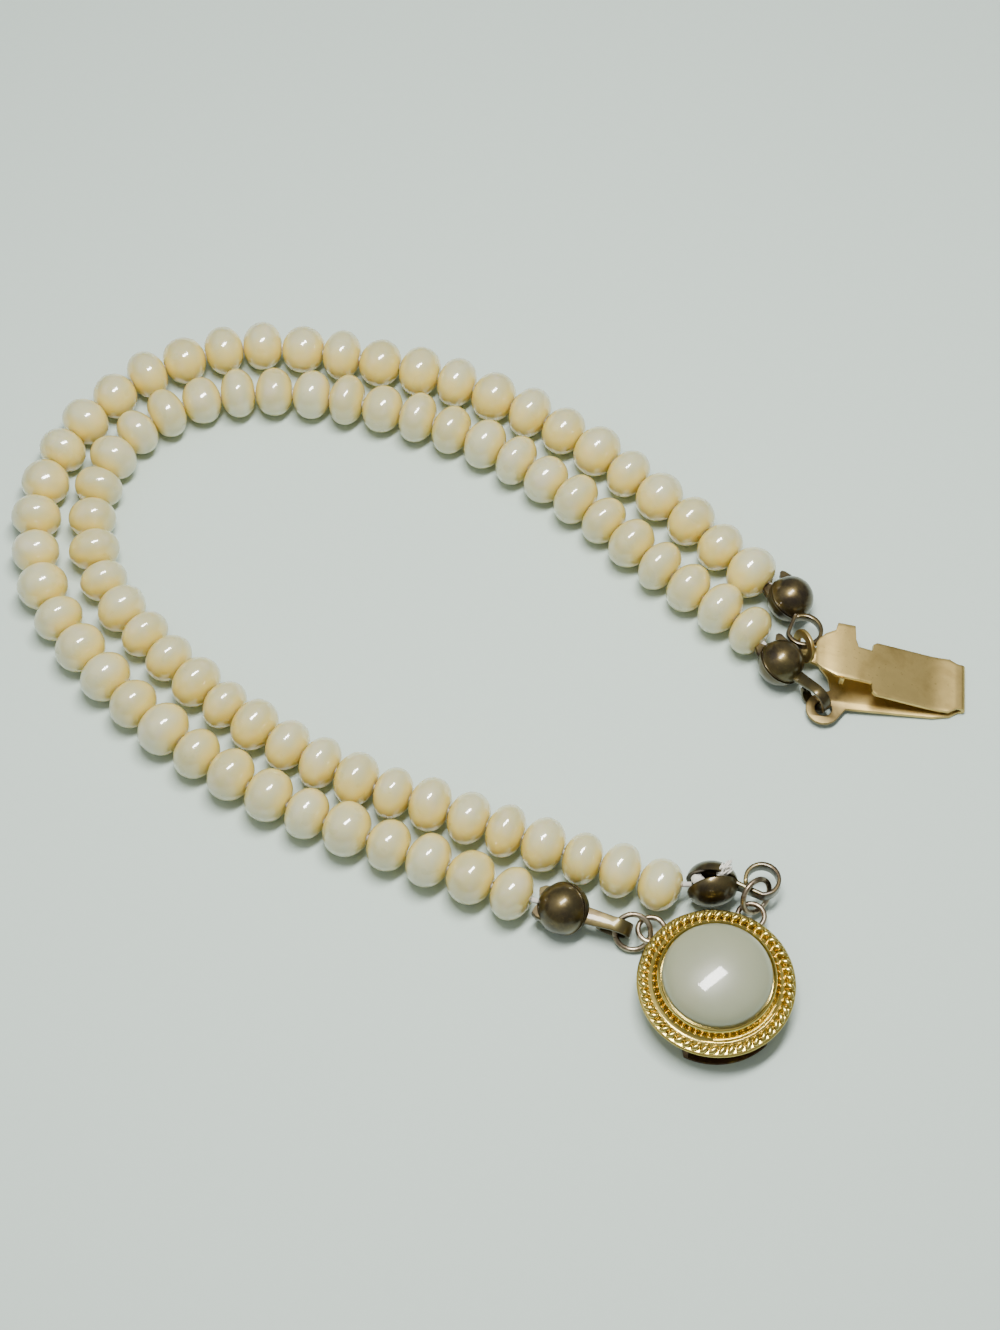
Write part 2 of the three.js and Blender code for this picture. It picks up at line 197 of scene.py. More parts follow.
class TongueSettings(bpy.types.PropertyGroup):
    champagne: colour("Champagne", "Pale gold of the tongue", (0.62, 0.46, 0.17))
    # Shade is the tongue's gold as it looks in shadow: painted shade.
    shade: colour("Shade", "Browner gold where it is worn", (0.32, 0.22, 0.07))
    tarnish: colour(
        "Tarnish", "Brown round the flat ear, where the hook rubs", (0.085, 0.062, 0.03))


class WireSettings(bpy.types.PropertyGroup):
    wire: length("Wire", "Thickness of the ring wire", 0.5)
    ring_radius: length("Ring radius", "Jump ring to the middle of its wire", 1.6)
    loop_radius: length("Loop radius", "Soldered loop to the middle of its wire", 1.2)
    silver: colour("Silver", "Worn silvery plating", (0.42, 0.35, 0.25))
    brown: colour("Brown", "Where the plating is gone", (0.15, 0.105, 0.065))


class StageSettings(bpy.types.PropertyGroup):
    floor: colour("Floor", "Pale cool tabletop", (0.53, 0.63, 0.57))
    lens: bpy.props.FloatProperty(
        name="Lens", description="Focal length in millimetres", default=70.4, min=1.0)
    elevation: bpy.props.FloatProperty(
        name="Elevation", description="Camera angle above the floor", subtype="ANGLE",
        default=math.radians(60))
    heading: bpy.props.FloatProperty(
        name="Heading", description="Way the camera looks, seen from above", subtype="ANGLE",
        default=math.radians(122))
    distance: length("Distance", "Camera to the middle of the floor seen", 247.6)


# ---- node trees ---------------------------------------------------------------------------------


class Signal:
    """One output of a node, with the arithmetic that the trees below use."""

    def __init__(self, recipe, socket):
        self.recipe = recipe
        self.socket = socket

    def math(self, operation, *values, clamp=False):
        numbered = dict(enumerate((self, *values)))
        settings = {"operation": operation, "use_clamp": clamp}
        return self.recipe.put("ShaderNodeMath", settings, numbered)

    def __add__(self, other):
        return self.math("ADD", other)

    __radd__ = __add__

    def __mul__(self, other):
        return self.math("MULTIPLY", other)

    __rmul__ = __mul__

    def __sub__(self, other):
        return self.math("SUBTRACT", other)

    def __rsub__(self, other):
        return self.recipe.put("ShaderNodeMath", {"operation": "SUBTRACT"}, {0: other, 1: self})

    def __truediv__(self, other):
        return self.math("DIVIDE", other)

    def __pow__(self, other):
        return self.math("POWER", other)

    def __abs__(self):
        return self.math("ABSOLUTE")

    def between(self, low, high):
        """0 below low, 1 above high, and a soft step from one to the other."""
        return self.recipe.put(
            "ShaderNodeMapRange", {"interpolation_type": "SMOOTHSTEP"},
            {"Value": self, "From Min": low, "From Max": high})


class Recipe:
    """A node tree while it is being written."""

    def __init__(self, tree):
        self.tree = tree

    def put(self, kind, settings=None, inputs=None, output=0):
        """Adds a node: its settings, then the value or the link of each of its sockets."""
        node = self.tree.nodes.new(kind)
        for key, value in (settings or {}).items():
            if key == "stops":
                for stop, (place, shade) in zip(self.stops(node, len(value)), value):
                    stop.position = place
                    stop.color = shade if len(shade) == 4 else (*shade, 1)
            else:
                setattr(node, key, value)
        for key, value in (inputs or {}).items():
            self.join(value, node.inputs[key])
        return Signal(self, node.outputs[output]) if node.outputs else None

    @staticmethod
    def stops(node, count):
        while len(node.color_ramp.elements) < count:
            node.color_ramp.elements.new(0.5)
        return node.color_ramp.elements

    def join(self, value, socket):
        if isinstance(value, Signal):
            self.tree.links.new(value.socket, socket)
        elif socket.type == "RGBA" and len(value) == 3:
            socket.default_value = (*value, 1)
        else:
            socket.default_value = value

    def blend(self, factor, low, high):
        """The colour low where factor is 0, and high where it is 1."""
        return self.put(
            "ShaderNodeMix", {"data_type": "RGBA"}, {0: factor, 6: low, 7: high}, output=2)

    def speckle(self, place, scale, detail=2.0, roughness=0.5, distortion=0.0):
        return self.put("ShaderNodeTexNoise", None, {
            "Vector": place, "Scale": scale, "Detail": detail, "Roughness": roughness,
            "Distortion": distortion})


class Finish(Recipe):
    """A surface material. Only what varies over a surface is linked."""

    def __init__(self, name, display):
        self.material = bpy.data.materials.new(name)
        self.material.use_nodes = True
        self.material.diffuse_color = (*display, 1)
        super().__init__(self.material.node_tree)
        self.tree.nodes.clear()
        self.place = self.put("ShaderNodeTexCoord", output=3)

    def stretched(self, scale):
        """The place on the piece, squeezed by a different amount along each axis."""
        return self.put(
            "ShaderNodeVectorMath", {"operation": "MULTIPLY"}, {0: self.place, 1: scale})

    def bump(self, height, strength, distance):
        return self.put("ShaderNodeBump", None, {
            "Height": height, "Strength": strength, "Distance": distance})

    def done(self, **sockets):
        shader = self.put("ShaderNodeBsdfPrincipled", None, {
            key.replace("_", " "): value for key, value in sockets.items()})
        self.put("ShaderNodeOutputMaterial", None, {"Surface": shader})
        return self.material


# ---- finishes -----------------------------------------------------------------------------------


def nacre(pearls):
    """Cream-white lustre, with honey colour painted where pearls touch along the strand, towards
    the other strand and near the floor: a painted glow standing in for light that comes through
    from the next pearl.
    """
    finish = Finish("nacre", pearls.white)
    tone = finish.put("ShaderNodeAttribute", {"attribute_name": "tone"}, output=2)
    along = finish.put("ShaderNodeAttribute", {"attribute_name": "along"}, output=2)
    across = finish.put("ShaderNodeAttribute", {"attribute_name": "across"}, output=2)
    height = finish.put("ShaderNodeSeparateXYZ", None, {0: finish.place}, output=2)
    cloud = finish.speckle(finish.place, 420, 2, 0.6)
    skin = finish.blend(tone, pearls.cream, pearls.white)
    skin = finish.blend((cloud.between(0.5, 0.72)) * 0.45, skin, pearls.blush)
    # Painted glow: honey colour in place of light passing through the pearls, strongest where
    # pearls touch, towards the other strand and near the floor.
    near_neighbour = abs(along).between(0.35, 0.95)
    near_strand = across.between(0.12, 0.9)
    near_floor = 1 - height.between(0.0003, 0.0026)
    painted_glow = near_neighbour * 0.68 + near_strand * 0.6 + near_floor * 0.4
    painted_glow = painted_glow.math("MINIMUM", 0.92)
    skin = finish.blend(painted_glow, skin, pearls.honey)
    grain = finish.speckle(finish.place, 5200, 3, 0.6)
    return finish.done(
        Base_Color=skin,
        Roughness=0.22 + cloud * 0.14,
        Normal=finish.bump(grain, 0.10, 0.00002),
        Subsurface_Weight=0.6, Subsurface_Radius=(1.0, 0.75, 0.3), Subsurface_Scale=0.0016,
        Coat_Weight=1.0, Coat_Roughness=0.06, Coat_IOR=1.95,
        Specular_IOR_Level=0.35,
    )


def cabochon_shell(clasp):
    """Glossy grey-cream dome with a slow cloudiness."""
    finish = Finish("cabochon_shell", clasp.shell)
    cloud = finish.speckle(finish.place, 260, 3, 0.55)
    wash = finish.speckle(finish.stretched((1, 0.4, 1)), 120, 2)
    skin = finish.blend(cloud, [channel * 0.86 for channel in clasp.shell], clasp.shell)
    skin = finish.blend(wash.between(0.45, 0.75) * 0.4, skin, (0.33, 0.31, 0.18))
    return finish.done(
        Base_Color=skin, Roughness=0.3 + cloud * 0.14,
        Normal=finish.bump(cloud, 0.15, 0.00005),
        Subsurface_Weight=0.15, Subsurface_Radius=(1.0, 0.7, 0.4), Subsurface_Scale=0.0015,
        Coat_Weight=0.9, Coat_Roughness=0.06,
    )


def plated_gold(clasp):
    """Bright yellow plating, deeper in random patches, with fine scuffs."""
    finish = Finish("plated_gold", clasp.gold)
    scuff = finish.speckle(finish.place, 2600, 4, 0.65)
    patch = finish.speckle(finish.place, 380, 3, 0.6, 0.4)
    skin = finish.blend(patch.between(0.35, 0.75), clasp.gold, [
        0.55 * gold + 0.45 * deep for gold, deep in zip(clasp.gold, clasp.deep_gold)])
    skin = finish.blend(scuff.between(0.66, 0.84) * 0.35, skin, clasp.deep_gold)
    return finish.done(
        Base_Color=skin, Metallic=1.0, Roughness=0.11 + scuff * 0.14,
        Normal=finish.bump(scuff * 0.7 + patch * 0.5, 0.14, 0.00002),
    )


def bare_box_metal(clasp):
    """Brown worn metal of the box, with a little gold left on it."""
    finish = Finish("bare_box_metal", clasp.bare)
    patch = finish.speckle(finish.place, 700, 5, 0.65, 0.6)
    skin = finish.blend(patch.between(0.5, 0.75), clasp.bare, clasp.deep_gold)
    return finish.done(
        Base_Color=skin, Metallic=0.9, Roughness=0.34 + patch * 0.3,
        Normal=finish.bump(patch, 0.35, 0.00006),
    )


def champagne_sheet(tongue):
    """Pale gold sheet, lightly drawn along its length, browner in patches."""
    finish = Finish("champagne_sheet", tongue.champagne)
    heading = math.radians(TONGUE_HEADING)
    along = finish.put("ShaderNodeMapping", {"vector_type": "POINT"}, {
        "Vector": finish.place, "Rotation": (0, 0, -heading), "Scale": (0.12, 1.0, 1.0)})
    drawn = finish.speckle(along, 5200, 3, 0.6)
    patch = finish.speckle(finish.place, 260, 4, 0.6, 0.5)
    pits = finish.speckle(finish.place, 3800, 2, 0.5)
    # Painted shade: the gold as seen in shadow, blended in random patches and pits.
    skin = finish.blend(patch.between(0.42, 0.78) * 0.7, tongue.champagne, tongue.shade)
    skin = finish.blend(pits.between(0.66, 0.74) * 0.5, skin, tongue.shade)
    ear = (facing(TONGUE_AT, TONGUE_HEADING, TONGUE_TILT) @ Vector(FLAT_EAR) + CENTRING) * MM
    reach = finish.put("ShaderNodeVectorMath", {"operation": "DISTANCE"}, {
        0: finish.place, 1: ear}, output=1)
    worn = (1 - reach.between(0.0011, 0.0042)) * (0.55 + patch * 0.5)
    skin = finish.blend(worn, skin, tongue.tarnish)
    return finish.done(
        Base_Color=skin, Metallic=1.0, Roughness=0.30 + drawn * 0.12 + patch * 0.1,
        Normal=finish.bump(drawn * 0.6 + pits * 0.4, 0.22, 0.00002),
    )


def tarnished_bronze(tips):
    """Dark brown tarnish with olive and golden patches rubbed through it."""
    finish = Finish("tarnished_bronze", tips.bronze)
    patch = finish.speckle(finish.place, 520, 4, 0.6, 0.5)
    film = finish.speckle(finish.stretched((1, 1, 0.5)), 190, 2)
    grain = finish.speckle(finish.place, 4200, 3, 0.65)
    skin = finish.blend(patch.between(0.32, 0.68), tips.tarnish, tips.bronze)
    skin = finish.blend(film.between(0.45, 0.7) * 0.6, skin, tips.olive)
    skin = finish.blend(grain.between(0.6, 0.8) * 0.3, skin, (0.26, 0.17, 0.05))
    return finish.done(
        Base_Color=skin, Metallic=0.8, Roughness=0.26 + patch * 0.1 + grain * 0.05,
        Normal=finish.bump(grain * 0.6 + patch * 0.4, 0.16, 0.00002),
        Coat_Weight=0.5, Coat_Roughness=0.04,
    )


def worn_silver(wire):
    """Silvery wire with brown where the plating has gone."""
    finish = Finish("worn_silver", wire.silver)
    patch = finish.speckle(finish.place, 900, 4, 0.65, 0.5)
    skin = finish.blend(patch.between(0.42, 0.66), wire.silver, wire.brown)
    return finish.done(
        Base_Color=skin, Metallic=1.0, Roughness=0.2 + patch * 0.25,
        Normal=finish.bump(patch, 0.25, 0.00003),
    )


def cotton_thread(pearls):
    """Matt cream cotton with twisted strands."""
    finish = Finish("cotton_thread", pearls.cotton)
    fibre = finish.speckle(finish.stretched((1, 1, 0.4)), 6000, 3, 0.7)
    skin = finish.blend(fibre, [channel * 0.7 for channel in pearls.cotton], pearls.cotton)
    return finish.done(
        Base_Color=skin, Roughness=0.9, Normal=finish.bump(fibre, 0.6, 0.00004),
        Sheen_Weight=0.4, Sheen_Roughness=0.6,
    )


def tabletop(stage):
    """Smooth pale board with a barely visible fleck."""
    finish = Finish("tabletop", stage.floor)
    fleck = finish.speckle(finish.place, 900, 3, 0.7)
    skin = finish.blend(fleck, [channel * 0.965 for channel in stage.floor], stage.floor)
    return finish.done(Base_Color=skin, Roughness=0.62, Specular_IOR_Level=0.3)


# ---- shapes -------------------------------------------------------------------------------------


def piece(name, vertices, faces, finish, place=None, sharp=None):
    """A mesh object in metres at the origin, from millimetre points put in their place."""
    place = Matrix.Translation(CENTRING) @ (place or Matrix.Identity(4))
    mesh = bpy.data.meshes.new(name)
    mesh.from_pydata([place @ Vector(point) * MM for point in vertices], [], faces)
    return furnished(name, mesh, finish, sharp)


def furnished(name, mesh, finish, sharp=None):
    """Merges doubled points of a mesh, turns its faces outwards, and gives it a smooth finish."""
    shape = bmesh.new()
    shape.from_mesh(mesh)
    bmesh.ops.remove_doubles(shape, verts=shape.verts, dist=1e-7)
    bmesh.ops.recalc_face_normals(shape, faces=shape.faces)
    shape.to_mesh(mesh)
    shape.free()
    mesh.polygons.foreach_set("use_smooth", [True] * len(mesh.polygons))
    if sharp:
        mesh.set_sharp_from_angle(angle=math.radians(sharp))
    if not mesh.materials:
        mesh.materials.append(finish)
    item = bpy.data.objects.new(name, mesh)
    bpy.context.scene.collection.objects.link(item)
    return item


def settled(item, name, finish=None, sharp=None):
    """The plain mesh that an object's modifiers make of it, in place of the object."""
    shapes = bpy.context.evaluated_depsgraph_get()
    mesh = bpy.data.meshes.new_from_object(
        item.evaluated_get(shapes), preserve_all_data_layers=True, depsgraph=shapes)
    mesh.transform(item.matrix_world)
    bpy.data.objects.remove(item)
    mesh.name = name
    return furnished(name, mesh, finish, sharp)


def joined(name, shapes, finish, place=None, sharp=None):
    """One piece from several closed (vertices, faces) shapes."""
    vertices, faces = [], []
    for points, corners in shapes:
        start = len(vertices)
        vertices.extend(points)
        faces.extend([[start + corner for corner in face] for face in corners])
    return piece(name, vertices, faces, finish, place, sharp)


def moved(shape, place):
    vertices, faces = shape
    return [place @ Vector(point) for point in vertices], faces


def turned(profile, segments):
    """A profile of (radius, height) turned about Z. Ends on the axis become one point."""
    vertices, rows = [], []
    for radius, height in profile:
        if radius < 1e-6:
            rows.append([len(vertices)] * segments)
            vertices.append((0, 0, height))
        else:
            rows.append(range(len(vertices), len(vertices) + segments))
            for step in range(segments):
                angle = 2 * math.pi * step / segments
                vertices.append((radius * math.cos(angle), radius * math.sin(angle), height))
    faces = []
    for low, high in zip(rows, rows[1:]):
        for step in range(segments):
            following = (step + 1) % segments
            ring = [low[step], low[following], high[following], high[step]]
            face = list(dict.fromkeys(ring))
            if len(face) > 2:
                faces.append(face)
    return vertices, faces


def swept(line, sections, closed=False):
    """Rings of points, one along each place of a line, joined and capped at the ends."""
    vertices = [point for section in sections for point in section]
    count = len(sections[0])
    faces = []
    rows = len(line)
    for row in range(rows if closed else rows - 1):
        here, there = row * count, ((row + 1) % rows) * count
        for step in range(count):
            following = (step + 1) % count
            faces.append([here + step, here + following, there + following, there + step])
    if not closed:
        faces.append(list(range(count))[::-1])
        faces.append([(rows - 1) * count + step for step in range(count)])
    return vertices, faces


def tube(line, radii, sides=10, closed=False):
    """A round tube along a line of points, keeping its sections from twisting."""
    line = [Vector(point) for point in line]
    count = len(line)
    sections, side = [], None
    for index, point in enumerate(line):
        before = line[index - 1] if closed or index else point
        after = line[(index + 1) % count] if closed or index < count - 1 else point
        tangent = (after - before).normalized()
        if side is None:
            side = tangent.orthogonal().normalized()
        side = (side - tangent * side.dot(tangent)).normalized()
        other = tangent.cross(side)
        radius = radii[index] if isinstance(radii, (list, tuple)) else radii
        sections.append([
            point + radius * (math.cos(angle) * side + math.sin(angle) * other)
            for angle in (2 * math.pi * step / sides for step in range(sides))])
    return swept(line, sections, closed)


def strip(line, widths, thickness):
    """A flat strip with softened edges; its line is in X-Z and its width lies along Y."""
    sections = []
    for index, (x, z) in enumerate(line):
        ax, az = line[max(index - 1, 0)]
        bx, bz = line[min(index + 1, len(line) - 1)]
        span = math.hypot(bx - ax, bz - az)
        nx, nz = (az - bz) / span, (bx - ax) / span
        half, deep, soft = widths[index] / 2, thickness / 2, thickness * 0.22
        outline = [
            (half - soft, deep), (-half + soft, deep), (-half + soft * 0.3, deep - soft * 0.3),
            (-half, deep - soft), (-half, -deep + soft), (-half + soft * 0.3, -deep + soft * 0.3),
            (-half + soft, -deep), (half - soft, -deep), (half - soft * 0.3, -deep + soft * 0.3),
            (half, -deep + soft), (half, deep - soft), (half - soft * 0.3, deep - soft * 0.3),
        ]
        sections.append([(x + nx * off, y, z + nz * off) for y, off in outline])
    return swept(line, sections)


def sheet_cutout(name, outline, holes, thickness, finish, place):
    """A flat sheet cut to an outline, with holes and softly rounded edges."""
    curve = bpy.data.curves.new(name, "CURVE")
    curve.dimensions = "2D"
    curve.fill_mode = "BOTH"
    rounding = thickness * 0.16
    curve.extrude = (thickness / 2 - rounding) * MM
    curve.bevel_depth = rounding * MM
    curve.offset = -rounding * MM
    curve.bevel_resolution = 2
    for points in (outline, *holes):
        spline = curve.splines.new("POLY")
        spline.points.add(len(points) - 1)
        spline.use_cyclic_u = True
        for point, (x, y) in zip(spline.points, points):
            point.co = (x * MM, y * MM, 0, 1)
    item = bpy.data.objects.new(name, curve)
    bpy.context.scene.collection.objects.link(item)
    place = Matrix.Translation(CENTRING) @ place
    item.matrix_world = Matrix.Translation(place.translation * MM) @ place.to_3x3().to_4x4()
    bpy.context.view_layer.update()
    return settled(item, name, finish, sharp=50)


def circle(x, y, radius, start=0, end=360, steps=48):
    """Points round an arc; a full turn leaves out the repeated last one."""
    count = steps if end - start in (360, -360) else steps + 1
    return [
        (x + radius * math.cos(angle), y + radius * math.sin(angle))
        for angle in (
            math.radians(start + (end - start) * step / steps) for step in range(count))]


def facing(at, heading, pitch=0, roll=0):
    """The place of a piece: rolled about X, pitched about Y, then headed about Z, in degrees."""
    return (
        Matrix.Translation(at)
        @ Matrix.Rotation(math.radians(heading), 4, "Z")
        @ Matrix.Rotation(math.radians(pitch), 4, "Y")
        @ Matrix.Rotation(math.radians(roll), 4, "X"))


def smooth_route(points, steps=24):
    """A centripetal Catmull-Rom line through the points, and on its own at each end."""
    points = [Vector((*point, 0)) for point in points]
    points = [points[0] * 2 - points[1], *points, points[-1] * 2 - points[-2]]
    route = []
    for a, b, c, d in zip(points, points[1:], points[2:], points[3:]):
        first, middle, last = [math.sqrt((q - p).length) for p, q in ((a, b), (b, c), (c, d))]
        leaving = ((b - a) / first - (c - a) / (first + middle) + (c - b) / middle) * middle
        arriving = ((c - b) / middle - (d - b) / (middle + last) + (d - c) / last) * middle
        for step in range(steps):
            t = step / steps
            route.append(
                b * (2 * t**3 - 3 * t**2 + 1) + leaving * (t**3 - 2 * t**2 + t)
                + c * (-2 * t**3 + 3 * t**2) + arriving * (t**3 - t**2))
    return [*route, points[-2]]


def route_length(route):
    return sum((b - a).length for a, b in zip(route, route[1:]))


def smooth_between(rows, place):
    """A column of values read off a table of rows, with soft corners."""
    rows = sorted(rows)
    if place <= rows[0][0]:
        return rows[0][1:]
    for low, high in zip(rows, rows[1:]):
        if place <= high[0]:
            share = (place - low[0]) / (high[0] - low[0])
            return tuple(a + (b - a) * share for a, b in zip(low[1:], high[1:]))
    return rows[-1][1:]


def finish_slot(item, body, slot, *nodes):
    """Puts a piece on its body, in place of CAD nodes; its slot is not used."""
    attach(item, body)
    if nodes:
        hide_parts(*nodes)
    return item


# ---- pearls: geometry nodes ---------------------------------------------------------------------


def new_tree(name, sockets):
    tree = bpy.data.node_groups.new(name, "GeometryNodeTree")
    tree.interface.new_socket("Geometry", in_out="INPUT", socket_type="NodeSocketGeometry")
    for label, (kind, default) in sockets.items():
        socket = tree.interface.new_socket(label, in_out="INPUT", socket_type=kind)
        if default is not None:
            socket.default_value = default
    tree.interface.new_socket("Geometry", in_out="OUTPUT", socket_type="NodeSocketGeometry")
    return tree


def set_inputs(modifier, values):
    for item in modifier.node_group.interface.items_tree:
        if item.in_out == "INPUT" and item.name in values:
            modifier[item.identifier] = values[item.name]


def stored(domain, kind="FLOAT"):
    """Settings of a node that stores a named value on each point or each pearl."""
    return {"data_type": kind, "domain": domain}


def pearl_tree():
    """Threads pearls on a route: each one's place, thickness and size follow from its number."""
    tree = new_tree("Threaded pearls", {
        "Count": ("NodeSocketInt", 40), "Pitch": ("NodeSocketFloat", 4 * MM),
        "Length": ("NodeSocketFloat", 150 * MM), "Diameter": ("NodeSocketFloat", 4.95 * MM),
        "Spread": ("NodeSocketFloat", 0.15 * MM), "Shrink": ("NodeSocketFloat", 0.3 * MM),
        "Lumpiness": ("NodeSocketFloat", 0.1 * MM), "Seed": ("NodeSocketInt", 1),
        "Neighbour side": ("NodeSocketFloat", 1.0),
        "Nacre": ("NodeSocketMaterial", None),
    })
    recipe = Recipe(tree)
    group = tree.nodes.new("NodeGroupInput")
    given = {socket.name: Signal(recipe, socket) for socket in group.outputs if socket.name}

    # One pearl of half-size 1, its drill holes on X.
    ball = recipe.put("GeometryNodeMeshUVSphere", None, {
        "Segments": 40, "Rings": 24, "Radius": 1.0})
    where = recipe.put("GeometryNodeInputPosition")
    x = recipe.put("ShaderNodeSeparateXYZ", None, {0: where}, output=0)
    y = recipe.put("ShaderNodeSeparateXYZ", None, {0: where}, output=1)
    z = recipe.put("ShaderNodeSeparateXYZ", None, {0: where}, output=2)
    depth = abs(z).math("MINIMUM", 1.0)
    around = (x * x + y * y).math("SQRT").math("MAXIMUM", 1e-5)
    swell = (1 - depth ** 2.08).math("MAXIMUM", 0.0) ** (1 / 2.08)
    hole = 1 - (1 - swell.between(0.02, 0.26)) * 0.10
    reshaped = recipe.put("ShaderNodeCombineXYZ", None, {
        0: z * hole, 1: x * swell / around, 2: y * swell / around})
    marked = recipe.put("GeometryNodeStoreNamedAttribute", stored("POINT"), {
        "Geometry": ball, "Name": "along", "Value": z})
    pearl = recipe.put("GeometryNodeSetPosition", None, {"Geometry": marked, "Position": reshaped})

    number = recipe.put("GeometryNodeInputIndex")
    seed = given["Seed"] + 0.0
    drift = 0.07 / (2 * math.tan(1.2))
    place = given["Pitch"] * (
        number + drift * (seed.math("COSINE") - (number * 2.4 + seed).math("COSINE")))
    thickness = given["Pitch"] * (1 + 0.07 * (number * 2.4 + seed).math("SINE"))
    middle = ((place / given["Length"]) * math.pi).math("SINE").math("MAXIMUM", 0.0) ** 6.0
    diameter = (
        given["Diameter"] - given["Shrink"] * middle
        + given["Spread"] * (number * 3.7 + seed).math("SINE"))

    points = recipe.put("GeometryNodePoints", None, {"Count": given["Count"]})
    sampler = tree.nodes.new("GeometryNodeSampleCurve")
    sampler.mode = "LENGTH"
    recipe.join(given["Geometry"], sampler.inputs["Curves"])
    recipe.join(place, sampler.inputs["Length"])
    on_route = Signal(recipe, sampler.outputs["Position"])
    tangent = Signal(recipe, sampler.outputs["Tangent"])
    raised = recipe.put("ShaderNodeVectorMath", {"operation": "ADD"}, {
        0: on_route, 1: recipe.put("ShaderNodeCombineXYZ", None, {2: diameter / 2})})
    points = recipe.put("GeometryNodeSetPosition", None, {"Geometry": points, "Position": raised})
    chance = recipe.put("FunctionNodeRandomValue", {"data_type": "FLOAT"}, {
        "ID": number, "Seed": given["Seed"]}, output=1)
    roll = recipe.put("ShaderNodeCombineXYZ", None, {0: chance * 6.283})
    along = recipe.put("FunctionNodeAlignRotationToVector", {"axis": "X"}, {"Vector": tangent})
    rotation = recipe.put("FunctionNodeRotateRotation", {"rotation_space": "LOCAL"}, {
        "Rotation": along, "Rotate By": recipe.put("FunctionNodeEulerToRotation", None, {0: roll})})
    size = recipe.put("ShaderNodeCombineXYZ", None, {
        0: thickness / 2, 1: diameter / 2, 2: diameter / 2})
    threaded = recipe.put("GeometryNodeInstanceOnPoints", None, {
        "Points": points, "Instance": pearl, "Rotation": rotation, "Scale": size})
    toned = recipe.put("GeometryNodeStoreNamedAttribute", stored("INSTANCE"), {
        "Geometry": threaded, "Name": "tone", "Value": chance})
    left = recipe.put("ShaderNodeVectorMath", {"operation": "CROSS_PRODUCT"}, {
        0: (0, 0, 1), 1: tangent})
    other_strand = recipe.put("ShaderNodeVectorMath", {"operation": "SCALE"}, {
        0: left, "Scale": given["Neighbour side"]})
    vector = stored("INSTANCE", "FLOAT_VECTOR")
    sided = recipe.put("GeometryNodeStoreNamedAttribute", vector, {
        "Geometry": toned, "Name": "side", "Value": other_strand})
    centred = recipe.put("GeometryNodeStoreNamedAttribute", vector, {
        "Geometry": sided, "Name": "middle", "Value": raised})
    real = recipe.put("GeometryNodeRealizeInstances", None, {"Geometry": centred})
    side, centre = [
        recipe.put("GeometryNodeInputNamedAttribute", {"data_type": "FLOAT_VECTOR"}, {"Name": name})
        for name in ("side", "middle")]
    reach = recipe.put("ShaderNodeVectorMath", {"operation": "SUBTRACT"}, {
        0: recipe.put("GeometryNodeInputPosition"), 1: centre})
    facing_side = recipe.put("ShaderNodeVectorMath", {"operation": "DOT_PRODUCT"}, {
        0: reach, 1: side}, output=1)
    real = recipe.put("GeometryNodeStoreNamedAttribute", stored("POINT"), {
        "Geometry": real, "Name": "across", "Value": facing_side * 2.0 / given["Diameter"]})
    for name in ("side", "middle"):
        real = recipe.put("GeometryNodeRemoveAttribute", None, {"Geometry": real, "Name": name})

    # Skin that strays a little from round, differently on each pearl.
    here = recipe.put("GeometryNodeInputPosition")
    swirl = recipe.put("ShaderNodeTexNoise", None, {
        "Vector": here, "Scale": 330.0, "Detail": 1.0}, output=1)
    centred = recipe.put("ShaderNodeVectorMath", {"operation": "SUBTRACT"}, {
        0: swirl, 1: (0.5, 0.5, 0.5)})
    stray = recipe.put("ShaderNodeVectorMath", {"operation": "SCALE"}, {
        0: centred, "Scale": given["Lumpiness"] * 2.0})
    lumpy = recipe.put("GeometryNodeSetPosition", None, {"Geometry": real, "Offset": stray})
    smooth = recipe.put("GeometryNodeSetShadeSmooth", None, {"Geometry": lumpy})
    final = recipe.put("GeometryNodeSetMaterial", None, {
        "Geometry": smooth, "Material": given["Nacre"]})
    output = tree.nodes.new("NodeGroupOutput")
    recipe.join(final, output.inputs["Geometry"])
    return tree


def route_object(name, route):
    """The thread's route as a curve, in metres and in its place."""
    curve = bpy.data.curves.new(name, "CURVE")
    curve.dimensions = "3D"
    spline = curve.splines.new("POLY")
    spline.points.add(len(route) - 1)
    for point, where in zip(spline.points, route):
        point.co = (*((where + CENTRING) * MM), 1)
    item = bpy.data.objects.new(name, curve)
    bpy.context.scene.collection.objects.link(item)
    return item


class BRACELET_OT_pearls(bpy.types.Operator):
    """Threads the pearls of both strands"""

    bl_idname = "bracelet.pearls"
    bl_label = "Pearls"

    def execute(self, context):
        pearls = context.scene.bracelet_pearls
        tree = pearl_tree()
        skin = nacre(pearls)
        for side, strand in STRANDS.items():
            route = smooth_route(strand["route"])
            count = strand["pearls"]
            reach = route_length(route)
            drift = 0.07 / (2 * math.tan(1.2))
            spans = count - 1 + drift * (math.cos(count) - math.cos(2.4 * (count - 1) + count))
            item = route_object(f"{side}_route", route)
            modifier = item.modifiers.new("Pearls", "NODES")
            modifier.node_group = tree
            set_inputs(modifier, {
                "Count": count, "Pitch": reach * MM / spans, "Length": reach * MM,
                "Diameter": pearls.diameter, "Spread": pearls.spread,
                "Shrink": pearls.bend_shrink, "Lumpiness": pearls.lumpiness,
                "Seed": count, "Nacre": skin, "Neighbour side": strand["neighbour"],
            })
            threaded = settled(item, f"{side}_pearls")
            nodes = [f"{side}_strand_{run}" for run in (1, 2, 3, 4)]
            finish_slot(threaded, ROOT, "pearl", *nodes)
        return {"FINISHED"}


